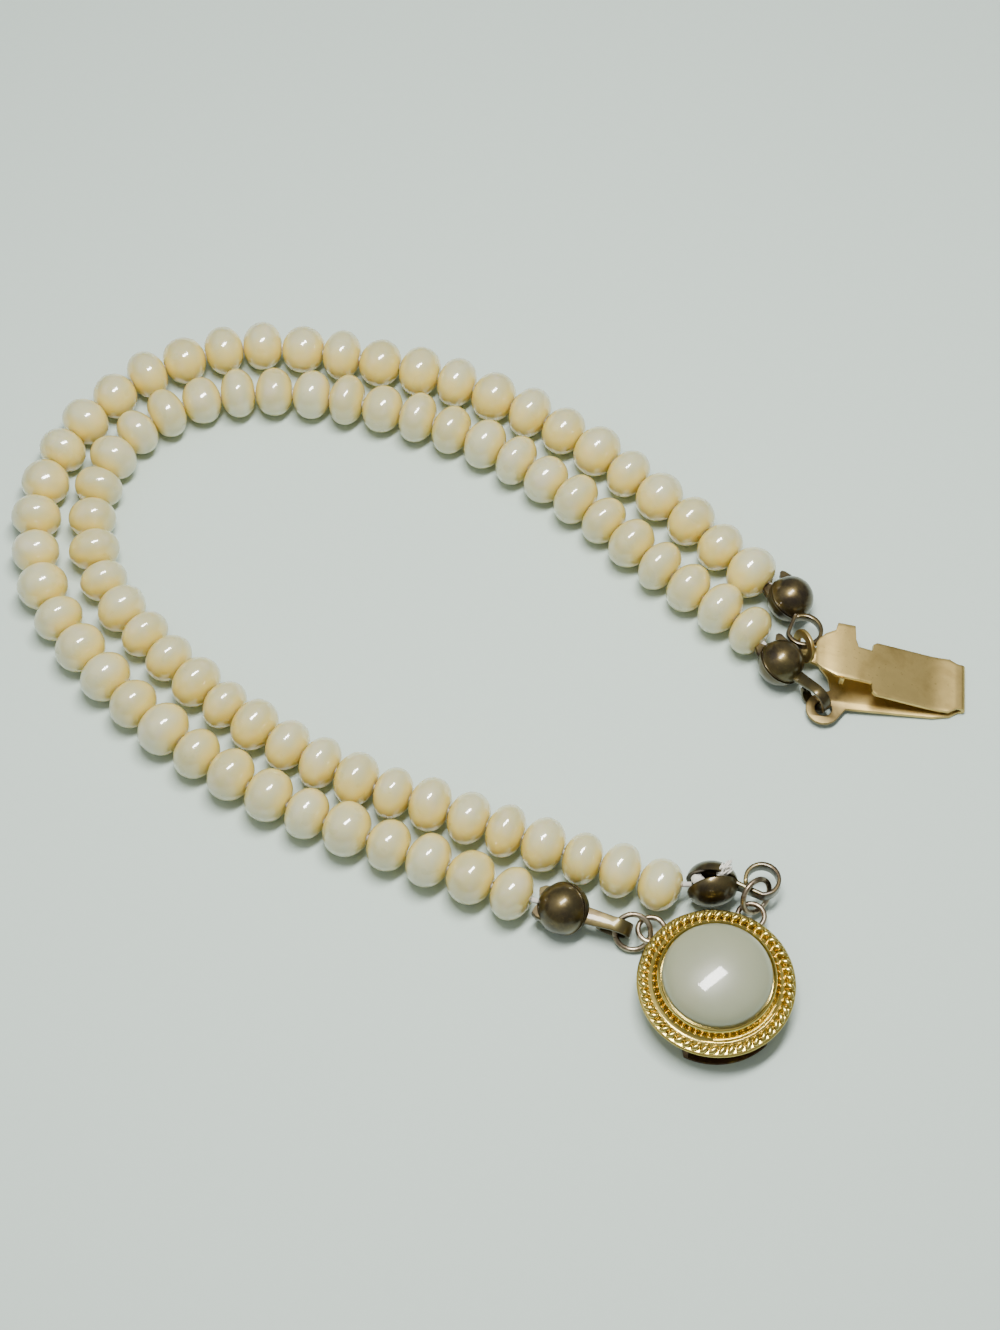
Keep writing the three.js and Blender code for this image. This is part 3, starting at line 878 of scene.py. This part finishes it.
class BRACELET_OT_thread(bpy.types.Operator):
    """Runs the thread through the pearls and into the bead tips"""

    bl_idname = "bracelet.thread"
    bl_label = "Thread"

    def execute(self, context):
        cotton = bpy.data.materials.get("cotton_thread")
        cotton = cotton or cotton_thread(context.scene.bracelet_pearls)
        ends = {
            "outer": (CLOSED_TIPS[0]["at"], CLOSED_TIPS[2]["at"]),
            "inner": (CLOSED_TIPS[1]["at"], OPEN_TIP["at"]),
        }
        for side, (start, end) in ends.items():
            route = smooth_route(STRANDS[side]["route"], 8)
            line = [point + Vector((0, 0, 2.45)) for point in route]
            line = [Vector(start).lerp(line[0], 0.4), *line, Vector(end).lerp(line[-1], 0.4)]
            item = joined(f"{side}_thread", [tube(line, 0.26, 8)], cotton)
            finish_slot(item, ROOT, "thread")
        return {"FINISHED"}


# ---- bead tips ----------------------------------------------------------------------------------


def cup_shape(radius, wall, edge=0.07, segments=44):
    """Half a hollow ball above Z = 0, with a rolled rim."""
    outer = [
        (radius * math.sin(angle), radius * math.cos(angle))
        for angle in (math.radians(90 * step / 14) for step in range(15))]
    inner = [
        ((radius - wall) * math.sin(angle), (radius - wall) * math.cos(angle))
        for angle in (math.radians(90 * step / 10) for step in range(10, -1, -1))]
    rim = [
        (radius + 0.05, edge * 0.9), (radius + 0.03, edge * 0.2), (radius - 0.06, 0.0),
        (radius - wall + 0.03, 0.02)]
    lifted = [(r, max(z, edge)) for r, z in outer[:-1]] + [(radius, edge * 1.6)]
    return turned([*lifted, *rim, *inner], segments)


def hook_line(size, reach, drop, radius, flatness, steps=30):
    """The middle of the strip: out of the ball, then curled back under into a loop."""
    loop = [
        (reach + x, z * flatness - drop)
        for x, z in circle(0, 0, radius, 95, -195, steps)]
    start = (size / 2 - 0.5, 0)
    neck = [
        (start[0] + (loop[0][0] - start[0]) * share, start[1] + (loop[0][1] - start[1]) * share)
        for share in (0, 0.25, 0.5, 0.75)]
    return neck + loop


def hook_shape(tip, thickness):
    line = hook_line(tip["size"], **tip["hook"])
    wide = tip["strip"]
    widths = [wide * (1.25 - 0.25 * min(index / 4, 1)) for index in range(len(line))]
    widths[-1] *= 0.8
    return strip(line, widths, thickness)


def collar_shape(size, horn):
    """The flat ends of both cups at the pearl: two horns with a notch between them."""
    edge = size / 2
    half = [
        (0.95, 1.75), (0.3, 1.66), (-0.1 - horn, 1.5), (-0.36 - horn, 1.3), (-0.34 - horn, 1.02),
        (-0.02, 0.62), (0.2, 0.34),
    ]
    outline = [(x - edge, -y) for x, y in half] + [(x - edge, y) for x, y in reversed(half)]
    levels = [(0.36, 0.92), (0.24, 1.0), (-0.24, 1.0), (-0.36, 0.92)]
    middle = 0.2 - edge
    sections = [
        [(middle + (x - middle) * grow, y * grow, z) for x, y in outline]
        for z, grow in levels]
    return swept(levels, sections)


class BRACELET_OT_closed_tips(bpy.types.Operator):
    """Makes the closed bead tips: two cups, the notched collar and the hooked strip"""

    bl_idname = "bracelet.closed_tips"
    bl_label = "Closed bead tips"

    def execute(self, context):
        tips = context.scene.bracelet_tips
        bronze = tarnished_bronze(tips)
        for tip in CLOSED_TIPS:
            radius, wall = tip["size"] / 2, tips.wall / MM
            ball = Matrix.Translation(tip["at"])
            bulge = Vector((0, 0, 1)).rotation_difference(Vector(tip["bulge"])).to_matrix().to_4x4()
            over = ball @ bulge
            under = over @ Matrix.Translation((0, 0, -0.09)) @ Matrix.Rotation(math.pi, 4, "X")
            shapes = [
                moved(cup_shape(radius * 0.985, wall), over),
                moved(cup_shape(radius, wall), under),
                moved(hook_shape(tip, tips.strip / MM), facing(tip["at"], *tip["turn"])),
                moved(collar_shape(tip["size"], tip["horn"]), facing(tip["at"], tip["collar"])),
            ]
            item = joined(tip["name"] + "_metal", shapes, bronze, None, 40)
            finish_slot(item, ROOT, "tip_bronze", tip["name"])
        return {"FINISHED"}


class BRACELET_OT_open_tip(bpy.types.Operator):
    """Makes the bead tip whose cups stand open, with the knot and its frayed end"""

    bl_idname = "bracelet.open_tip"
    bl_label = "Open bead tip"

    def execute(self, context):
        tips = context.scene.bracelet_tips
        bronze = bpy.data.materials.get("tarnished_bronze") or tarnished_bronze(tips)
        tip = OPEN_TIP
        radius = tip["size"] / 2
        flat = Matrix.Diagonal((1, 1, 0.75, 1))
        shapes = [hook_shape(tip, tips.strip / MM)]
        for side in (1, -1):
            swing = (
                Matrix.Translation((radius, 0, 0))
                @ Matrix.Rotation(math.radians(8 * side), 4, "Y")
                @ Matrix.Translation((-radius, 0, 0)))
            turn = Matrix.Identity(4) if side > 0 else Matrix.Rotation(math.pi, 4, "X")
            shapes.append(moved(cup_shape(radius, tips.wall / MM), swing @ flat @ turn))
        place = facing(tip["at"], *tip["turn"])
        item = joined(tip["name"] + "_metal", shapes, bronze, place, 40)
        finish_slot(item, ROOT, "tip_bronze", tip["name"])

        cotton = bpy.data.materials.get("cotton_thread")
        cotton = cotton or cotton_thread(context.scene.bracelet_pearls)
        level = facing(tip["at"], tip["turn"][0])
        chance = random.Random(7)
        tuft = [self.knot((-1.3, 0.1, 0.7), 0.6), self.knot((0.8, 0.3, 1.35), 0.5)]
        for _ in range(34):
            start = Vector((0.7 + chance.uniform(-0.3, 0.3), chance.uniform(0.0, 0.4), 1.3))
            end = Vector((
                1.5 + chance.uniform(-0.7, 0.3), 0.8 + chance.uniform(-0.4, 0.5),
                1.9 + chance.uniform(-0.4, 0.5)))
            bow = Vector((
                chance.uniform(-0.2, 0.3), chance.uniform(-0.2, 0.2), chance.uniform(0.3, 0.8)))
            line = [
                start.lerp(end, t) + bow * math.sin(math.pi * t) for t in (0, 0.25, 0.5, 0.75, 1)]
            tuft.append(tube(line, [0.1, 0.1, 0.09, 0.07, 0.03], 6))
        item = joined("frayed_knot", tuft, cotton, level)
        finish_slot(item, ROOT, "thread", "thread_knot")
        return {"FINISHED"}

    @staticmethod
    def knot(at, radius):
        """A lump of wound thread."""
        arc = [math.radians(180 * step / 12) for step in range(13)]
        points, faces = turned([(radius * math.sin(a), radius * math.cos(a)) for a in arc], 20)
        lumpy = []
        for point in points:
            spot = Vector(point)
            ridge = 0.07 * math.sin(5 * math.atan2(spot.y, spot.x) + 7 * spot.z)
            lumpy.append(Vector(at) + spot * (1 + ridge + 0.12 * noise.noise(spot * 1.7)))
        return lumpy, faces


# ---- wire ---------------------------------------------------------------------------------------


class BRACELET_OT_jump_rings(bpy.types.Operator):
    """Makes the two jump rings, each with its cut"""

    bl_idname = "bracelet.jump_rings"
    bl_label = "Jump rings"

    def execute(self, context):
        wire = context.scene.bracelet_wire
        silver = worn_silver(wire)
        for name, ring in JUMP_RINGS.items():
            start = ring["cut"]
            line = [
                (x, y, 0.05 * (step / 63 - 0.5))
                for step, (x, y) in enumerate(
                    circle(0, 0, wire.ring_radius / MM, start + 1.2, start + 358.8, 63))]
            shape = tube(line, wire.wire / MM / 2, 16)
            item = joined(name + "_wire", [shape], silver, facing(ring["at"], *ring["turn"]), 40)
            finish_slot(item, ROOT, "ring_silvered", name)
        return {"FINISHED"}


# ---- clasp --------------------------------------------------------------------------------------


def rope_tree():
    """Slanted beads set round a circle, each one turned a little against it."""
    tree = new_tree("Rope edge", {
        "Beads": ("NodeSocketInt", 52), "Radius": ("NodeSocketFloat", 6.4 * MM),
        "Bead length": ("NodeSocketFloat", 1.1 * MM), "Bead width": ("NodeSocketFloat", 0.56 * MM),
        "Slant": ("NodeSocketFloat", 0.75), "Unevenness": ("NodeSocketFloat", 0.12),
        "Seed": ("NodeSocketInt", 3), "Gold": ("NodeSocketMaterial", None),
    })
    recipe = Recipe(tree)
    group = tree.nodes.new("NodeGroupInput")
    given = {socket.name: Signal(recipe, socket) for socket in group.outputs if socket.name}
    bead = recipe.put("GeometryNodeMeshUVSphere", None, {
        "Segments": 18, "Rings": 12, "Radius": 0.5})
    number = recipe.put("GeometryNodeInputIndex")
    angle = number * (2 * math.pi) / (given["Beads"] + 0.0)
    spot = recipe.put("ShaderNodeCombineXYZ", None, {
        0: angle.math("COSINE") * given["Radius"], 1: angle.math("SINE") * given["Radius"]})
    points = recipe.put("GeometryNodePoints", None, {"Count": given["Beads"], "Position": spot})
    chance = recipe.put("FunctionNodeRandomValue", {"data_type": "FLOAT"}, {
        "Min": -1.0, "Max": 1.0, "ID": number, "Seed": given["Seed"]}, output=1)
    turn = angle + math.pi / 2 + given["Slant"] + chance * given["Unevenness"]
    rotation = recipe.put("FunctionNodeEulerToRotation", None, {
        0: recipe.put("ShaderNodeCombineXYZ", None, {2: turn})})
    grow = 1 + chance * given["Unevenness"] * 0.6
    size = recipe.put("ShaderNodeCombineXYZ", None, {
        0: given["Bead length"] * grow, 1: given["Bead width"], 2: given["Bead width"] * grow})
    beads = recipe.put("GeometryNodeInstanceOnPoints", None, {
        "Points": points, "Instance": bead, "Rotation": rotation, "Scale": size})
    real = recipe.put("GeometryNodeRealizeInstances", None, {"Geometry": beads})
    smooth = recipe.put("GeometryNodeSetShadeSmooth", None, {"Geometry": real})
    final = recipe.put("GeometryNodeSetMaterial", None, {
        "Geometry": smooth, "Material": given["Gold"]})
    output = tree.nodes.new("NodeGroupOutput")
    recipe.join(final, output.inputs["Geometry"])
    return tree


def box_outline(inset):
    """The box seen from above: straight sides and back, and a rounded front."""
    side = 3.7 - inset
    half = math.degrees(math.asin(side / BOX_FRONT))
    return [(-5.5 + inset, -side), *circle(0, 0, BOX_FRONT, -half, half, 16), (-5.5 + inset, side)]


def slab(outline, low, high, soft=0.05):
    """An outline made solid between two heights, its edges softened."""
    cx = sum(x for x, _ in outline) / len(outline)
    cy = sum(y for _, y in outline) / len(outline)
    reach = max(math.hypot(x - cx, y - cy) for x, y in outline)
    levels = [(low, 1 - soft / reach), (low + soft, 1), (high - soft, 1), (high, 1 - soft / reach)]
    sections = [[(cx + (x - cx) * k, cy + (y - cy) * k, z) for x, y in outline] for z, k in levels]
    return swept(levels, sections)


class BRACELET_OT_clasp(bpy.types.Operator):
    """Makes the round clasp: stamped top, rope edge, slotted box and soldered loops"""

    bl_idname = "bracelet.clasp"
    bl_label = "Clasp"

    def execute(self, context):
        clasp = context.scene.bracelet_clasp
        wire = context.scene.bracelet_wire
        gold = plated_gold(clasp)
        place = facing(CLASP_AT, CLASP_HEADING)
        edge = clasp.radius / MM
        profile = [
            (0, 2.86), (edge - 0.7, 2.86), (edge - 0.12, 2.98), (edge, 3.08), (edge, 3.16),
            (edge - 0.1, 3.25), (edge - 0.28, 3.27), (edge - 0.55, 3.25), (edge - 0.85, 3.28),
            (edge - 0.98, 3.36), (edge - 1.06, 3.42), (edge - 1.18, 3.43), (edge - 1.32, 3.48),
            (edge - 1.46, 3.6), (edge - 1.58, 3.8), (edge - 1.66, 4.08), (edge - 1.71, 4.4),
            (edge - 1.76, 4.6), (edge - 1.84, 4.73), (edge - 1.93, 4.75), (edge - 2.02, 4.65),
            (edge - 2.05, 4.4), (edge - 2.05, 4.0), (0, 4.0),
        ]
        ridges = []
        for reach, rise, start, end in ((edge - 1.2, 3.47, -24, 58), (edge - 1.42, 3.62, -14, 66)):
            arc = [(x, y, rise) for x, y in circle(0, 0, reach, start, end, 40)]
            taper = [0.09 * min(1, 0.3 + step / 6, 0.3 + (40 - step) / 6) for step in range(41)]
            ridges.append(tube(arc, taper, 8))
        top = joined("clasp_top", [turned(profile, 160), *ridges], gold, place, 60)
        finish_slot(top, ROOT, "clasp_gold", "clasp_box")

        seat = bpy.data.meshes.new("rope_edge")
        item = bpy.data.objects.new("rope_edge", seat)
        bpy.context.scene.collection.objects.link(item)
        lifted = Matrix.Translation((Vector(CLASP_AT) + CENTRING + Vector((0, 0, 3.42))) * MM)
        item.matrix_world = lifted
        modifier = item.modifiers.new("Rope", "NODES")
        modifier.node_group = rope_tree()
        set_inputs(modifier, {
            "Beads": clasp.rope_beads, "Radius": clasp.rope_radius, "Bead length": 1.12 * MM,
            "Bead width": 0.6 * MM, "Slant": 0.8, "Unevenness": 0.12, "Seed": 3, "Gold": gold,
        })
        bpy.context.view_layer.update()
        rope = settled(item, "rope_edge")
        finish_slot(rope, ROOT, "clasp_gold", "clasp_box")

        thin = box_outline(0.32)
        walls = [
            (5.28, -3.7), (-5.5, -3.7), (-5.5, 3.7), (5.28, 3.7), (5.48, 3.38), (-5.18, 3.38),
            (-5.18, -3.38), (5.48, -3.38)]
        shapes = [slab(box_outline(0), 0.0, 0.32), self.walls(walls), slab(thin, 2.6, 2.9)]
        box = joined("slotted_box", shapes, bare_box_metal(clasp), place, 30)
        finish_slot(box, ROOT, "clasp_gold", "clasp_box")

        silver = bpy.data.materials.get("worn_silver") or worn_silver(wire)
        loops = []
        for side in (1, -1):
            angle = math.radians(180 - side * LOOP_TURN)
            x, y = LOOP_REACH * math.cos(angle), LOOP_REACH * math.sin(angle)
            ring = [(x + dx, y + dy, LOOP_HEIGHT) for dx, dy in circle(0, 0, wire.loop_radius / MM)]
            loops.append(tube(ring, wire.wire / MM / 2, 14, closed=True))
            near = LOOP_REACH - wire.loop_radius / MM - 0.15
            drop = Matrix.Translation((near * math.cos(angle), near * math.sin(angle), LOOP_HEIGHT))
            loops.append(moved(BRACELET_OT_open_tip.knot((0, 0, 0), 0.5), drop))
        item = joined("soldered_loops", loops, silver, place, 40)
        finish_slot(item, ROOT, "ring_silvered", "clasp_box")
        return {"FINISHED"}

    @staticmethod
    def walls(outline):
        low, high = 0.3, 2.7
        sections = [[(x, y, z) for x, y in outline] for z in (low, high)]
        vertices, faces = swept([0, 1], sections)
        return vertices, faces


class BRACELET_OT_cabochon(bpy.types.Operator):
    """Makes the dome held by the clasp's lip"""

    bl_idname = "bracelet.cabochon"
    bl_label = "Cabochon"

    def execute(self, context):
        shell = cabochon_shell(context.scene.bracelet_clasp)
        seat, radius, rise = 4.15, 4.86, 2.1
        dome = [
            (radius * math.cos(angle), seat + 0.6 + rise * math.sin(angle))
            for angle in (math.radians(90 * step / 20) for step in range(20))]
        profile = [
            (0, seat), (radius - 0.1, seat), (radius, seat + 0.1), *dome, (0, seat + 0.6 + rise)]
        item = joined("cabochon_dome", [turned(profile, 96)], shell, facing(CLASP_AT, 0), 50)
        finish_slot(item, ROOT, "cabochon", "cabochon")
        return {"FINISHED"}


# ---- tongue -------------------------------------------------------------------------------------


def leaf_height(back):
    """Height of the leaf's middle, with the corners of its side view eased."""
    total = 0.0
    for step in range(-3, 4):
        total += smooth_between(LEAF_LINE, back + step * 0.25)[0]
    return total / 7


class BRACELET_OT_tongue(bpy.types.Operator):
    """Makes the folded tongue: plate with two ears, fold, spring leaf and thumb-piece"""

    bl_idname = "bracelet.tongue"
    bl_label = "Tongue"

    def execute(self, context):
        sheet = champagne_sheet(context.scene.bracelet_tongue)
        place = facing(TONGUE_AT, TONGUE_HEADING, TONGUE_TILT)
        outline = [
            (-0.6, -2.4), (-1.4, -2.95), (-3, -3.25), (-11.2, -3.35),
            *circle(*FLAT_EAR[:2], EAR_RADIUS, -30, -230, 24),
            (-12.7, -1.5), (-13, -0.2), (-13.9, 1.1), (-15.1, 1.6), (-15.75, 2), (-15.8, 2.5),
            (-14.6, 3), (-11.2, 3.35), (-3, 3.25), (-1.4, 2.95), (-0.6, 2.4),
        ]
        lifted = place @ Matrix.Translation((0, 0, SHEET / 2))
        hole = circle(*FLAT_EAR[:2], EAR_HOLE)
        plate = sheet_cutout("tongue_plate_sheet", outline, [hole], SHEET, sheet, lifted)
        finish_slot(plate, ROOT, "tongue_gold", "tongue_plate")

        bent = place @ facing((-15.5, 2.35, 1.45), -62, 0, 78)
        rim, hole = circle(0, 0, EAR_RADIUS), circle(0, 0, EAR_HOLE)
        ear = sheet_cutout("bent_ear", rim, [hole], SHEET, sheet, bent)
        finish_slot(ear, ROOT, "tongue_gold", "tongue_plate")

        leaf = self.folded_leaf(sheet, place)
        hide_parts("tongue_leaf")
        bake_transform(leaf)
        return {"FINISHED"}

    @staticmethod
    def folded_leaf(sheet, place):
        """The fold and the leaf as one sheet, with the small tab under its head."""
        middle = SHEET / 2 + FOLD_RADIUS
        rows = [(-0.7, SHEET / 2, 2.4, 2.4)]
        for x, z in circle(-FOLD_RADIUS - SHEET / 2, middle, FOLD_RADIUS, -90, 90, 14):
            rows.append((x, z, 2.38, 2.38))
        backs = {0.85 + 0.3 * step for step in range(45)} | {side[0] for side in LEAF_SIDES}
        for back in sorted(back for back in backs if back <= LEAF_SIDES[-1][0]):
            left, right = smooth_between(LEAF_SIDES, back)
            rows.append((-back, leaf_height(back), left, right))
        columns = 16
        vertices, faces = [], []
        for x, z, left, right in rows:
            for column in range(columns + 1):
                share = column / columns
                y = left - (left + right) * share
                vertices.append((x, y, z))
        for row in range(len(rows) - 1):
            for column in range(columns):
                here = row * (columns + 1) + column
                there = here + columns + 1
                faces.append([here, here + 1, there + 1, there])
        start = len(vertices)
        z = leaf_height(12.1)
        for step in range(5):
            drop = min(step, 1) * 0.12 + max(step - 1, 0) * 0.27
            for back in (11.85, 12.25):
                vertices.append((-back, -1.62 - (0.1 if step else 0), z - drop))
        for step in range(4):
            here = start + 2 * step
            faces.append([here, here + 1, here + 3, here + 2])
        item = piece("folded_leaf", vertices, faces, sheet, place)
        thick = item.modifiers.new("Sheet", "SOLIDIFY")
        thick.thickness = SHEET * MM
        thick.offset = 0
        soft = item.modifiers.new("Soft edges", "BEVEL")
        soft.width = 0.07 * MM
        soft.segments = 2
        soft.angle_limit = math.radians(50)
        return settled(item, "folded_leaf", sheet, 45)


# ---- stage --------------------------------------------------------------------------------------


class BRACELET_OT_stage(bpy.types.Operator):
    """Sets the pale floor, the soft light and the camera"""

    bl_idname = "bracelet.stage"
    bl_label = "Floor, light and camera"

    def execute(self, context):
        stage = context.scene.bracelet_stage
        scene = context.scene
        centre = (Vector((5, -0.2, 0)) + CENTRING) * MM
        mesh = bpy.data.meshes.new("tabletop")
        corners = [(-1.5, -1.5, 0), (1.5, -1.5, 0), (1.5, 1.5, 0), (-1.5, 1.5, 0)]
        mesh.from_pydata(corners, [], [(0, 1, 2, 3)])
        mesh.materials.append(tabletop(stage))
        floor = bpy.data.objects.new("tabletop", mesh)
        scene.collection.objects.link(floor)

        world = bpy.data.worlds.new("soft_room")
        world.use_nodes = True
        recipe = Recipe(world.node_tree)
        world.node_tree.nodes.clear()
        way = recipe.put("ShaderNodeTexCoord", output="Generated")
        height = recipe.put("ShaderNodeSeparateXYZ", None, {0: way}, output=2)
        shine = recipe.put("ShaderNodeBackground", None, {
            "Color": (0.94, 0.97, 0.95), "Strength": height.math("MAXIMUM", 0.0) * 0.38 + 0.17})
        recipe.put("ShaderNodeOutputWorld", None, {"Surface": shine})
        scene.world = world

        ahead = Vector((
            math.cos(stage.elevation) * math.cos(stage.heading),
            math.cos(stage.elevation) * math.sin(stage.heading), -math.sin(stage.elevation)))
        right = ahead.cross(Vector((0, 0, 1))).normalized()
        up = right.cross(ahead)
        lens = bpy.data.cameras.new("camera")
        lens.sensor_fit = "VERTICAL"
        lens.sensor_height = 36
        lens.lens = stage.lens
        lens.clip_start = 0.01
        camera = bpy.data.objects.new("camera", lens)
        camera.location = centre - ahead * stage.distance
        camera.rotation_euler = ahead.to_track_quat("-Z", "Y").to_euler()
        scene.collection.objects.link(camera)
        scene.camera = camera

        across = (right * 0.72 + up * 0.70).normalized()
        overhead = centre + Vector((0.004, 0.010, 0.24))
        self.lamp(scene, "window", overhead, centre, across, (0.13, 0.042), 1.08)
        side = (right * -1.0 + Vector((0, 0, 1.1))).normalized()
        self.lamp(scene, "wall", centre + side * 1.1, centre, up, (1.0, 0.8), 1.0)
        return {"FINISHED"}

    @staticmethod
    def lamp(scene, name, at, towards, across, size, power):
        """A rectangular lamp that faces a point, with its long side along across."""
        data = bpy.data.lights.new(name, "AREA")
        data.shape = "RECTANGLE"
        data.size, data.size_y = size
        data.energy = power
        data.color = (1.0, 0.99, 0.97)
        back = (at - towards).normalized()
        long_way = (across - back * across.dot(back)).normalized()
        short_way = back.cross(long_way)
        turn = Matrix((long_way, short_way, back)).transposed()
        item = bpy.data.objects.new(name, data)
        item.matrix_world = Matrix.Translation(at) @ turn.to_4x4()
        scene.collection.objects.link(item)


# ---- add-on -------------------------------------------------------------------------------------


SETTINGS = {
    "bracelet_pearls": PearlSettings,
    "bracelet_tips": TipSettings,
    "bracelet_clasp": ClaspSettings,
    "bracelet_tongue": TongueSettings,
    "bracelet_wire": WireSettings,
    "bracelet_stage": StageSettings,
}
OPERATORS = (
    BRACELET_OT_stage, BRACELET_OT_pearls, BRACELET_OT_thread, BRACELET_OT_closed_tips,
    BRACELET_OT_open_tip, BRACELET_OT_jump_rings, BRACELET_OT_clasp, BRACELET_OT_cabochon,
    BRACELET_OT_tongue,
)


class BRACELET_PT_sidebar(bpy.types.Panel):
    """Lists the settings and the pieces of the bracelet"""

    bl_idname = "BRACELET_PT_sidebar"
    bl_label = "Pearl Bracelet"
    bl_space_type = "VIEW_3D"
    bl_region_type = "UI"
    bl_category = "Bracelet"

    def draw(self, context):
        for attribute, group in SETTINGS.items():
            box = self.layout.box()
            values = getattr(context.scene, attribute)
            for name in group.__annotations__:
                box.prop(values, name)
        for operator in OPERATORS:
            self.layout.operator(operator.bl_idname)


def register():
    for group in (*SETTINGS.values(), *OPERATORS, BRACELET_PT_sidebar):
        bpy.utils.register_class(group)
    for attribute, group in SETTINGS.items():
        setattr(bpy.types.Scene, attribute, bpy.props.PointerProperty(type=group))


def unregister():
    for attribute in SETTINGS:
        delattr(bpy.types.Scene, attribute)
    for group in reversed((*SETTINGS.values(), *OPERATORS, BRACELET_PT_sidebar)):
        bpy.utils.unregister_class(group)


def main():
    register()
    bpy.ops.bracelet.stage()
    bpy.ops.bracelet.pearls()
    bpy.ops.bracelet.thread()
    bpy.ops.bracelet.closed_tips()
    bpy.ops.bracelet.open_tip()
    bpy.ops.bracelet.jump_rings()
    bpy.ops.bracelet.clasp()
    bpy.ops.bracelet.cabochon()
    bpy.ops.bracelet.tongue()


if __name__ == "__main__":
    main()
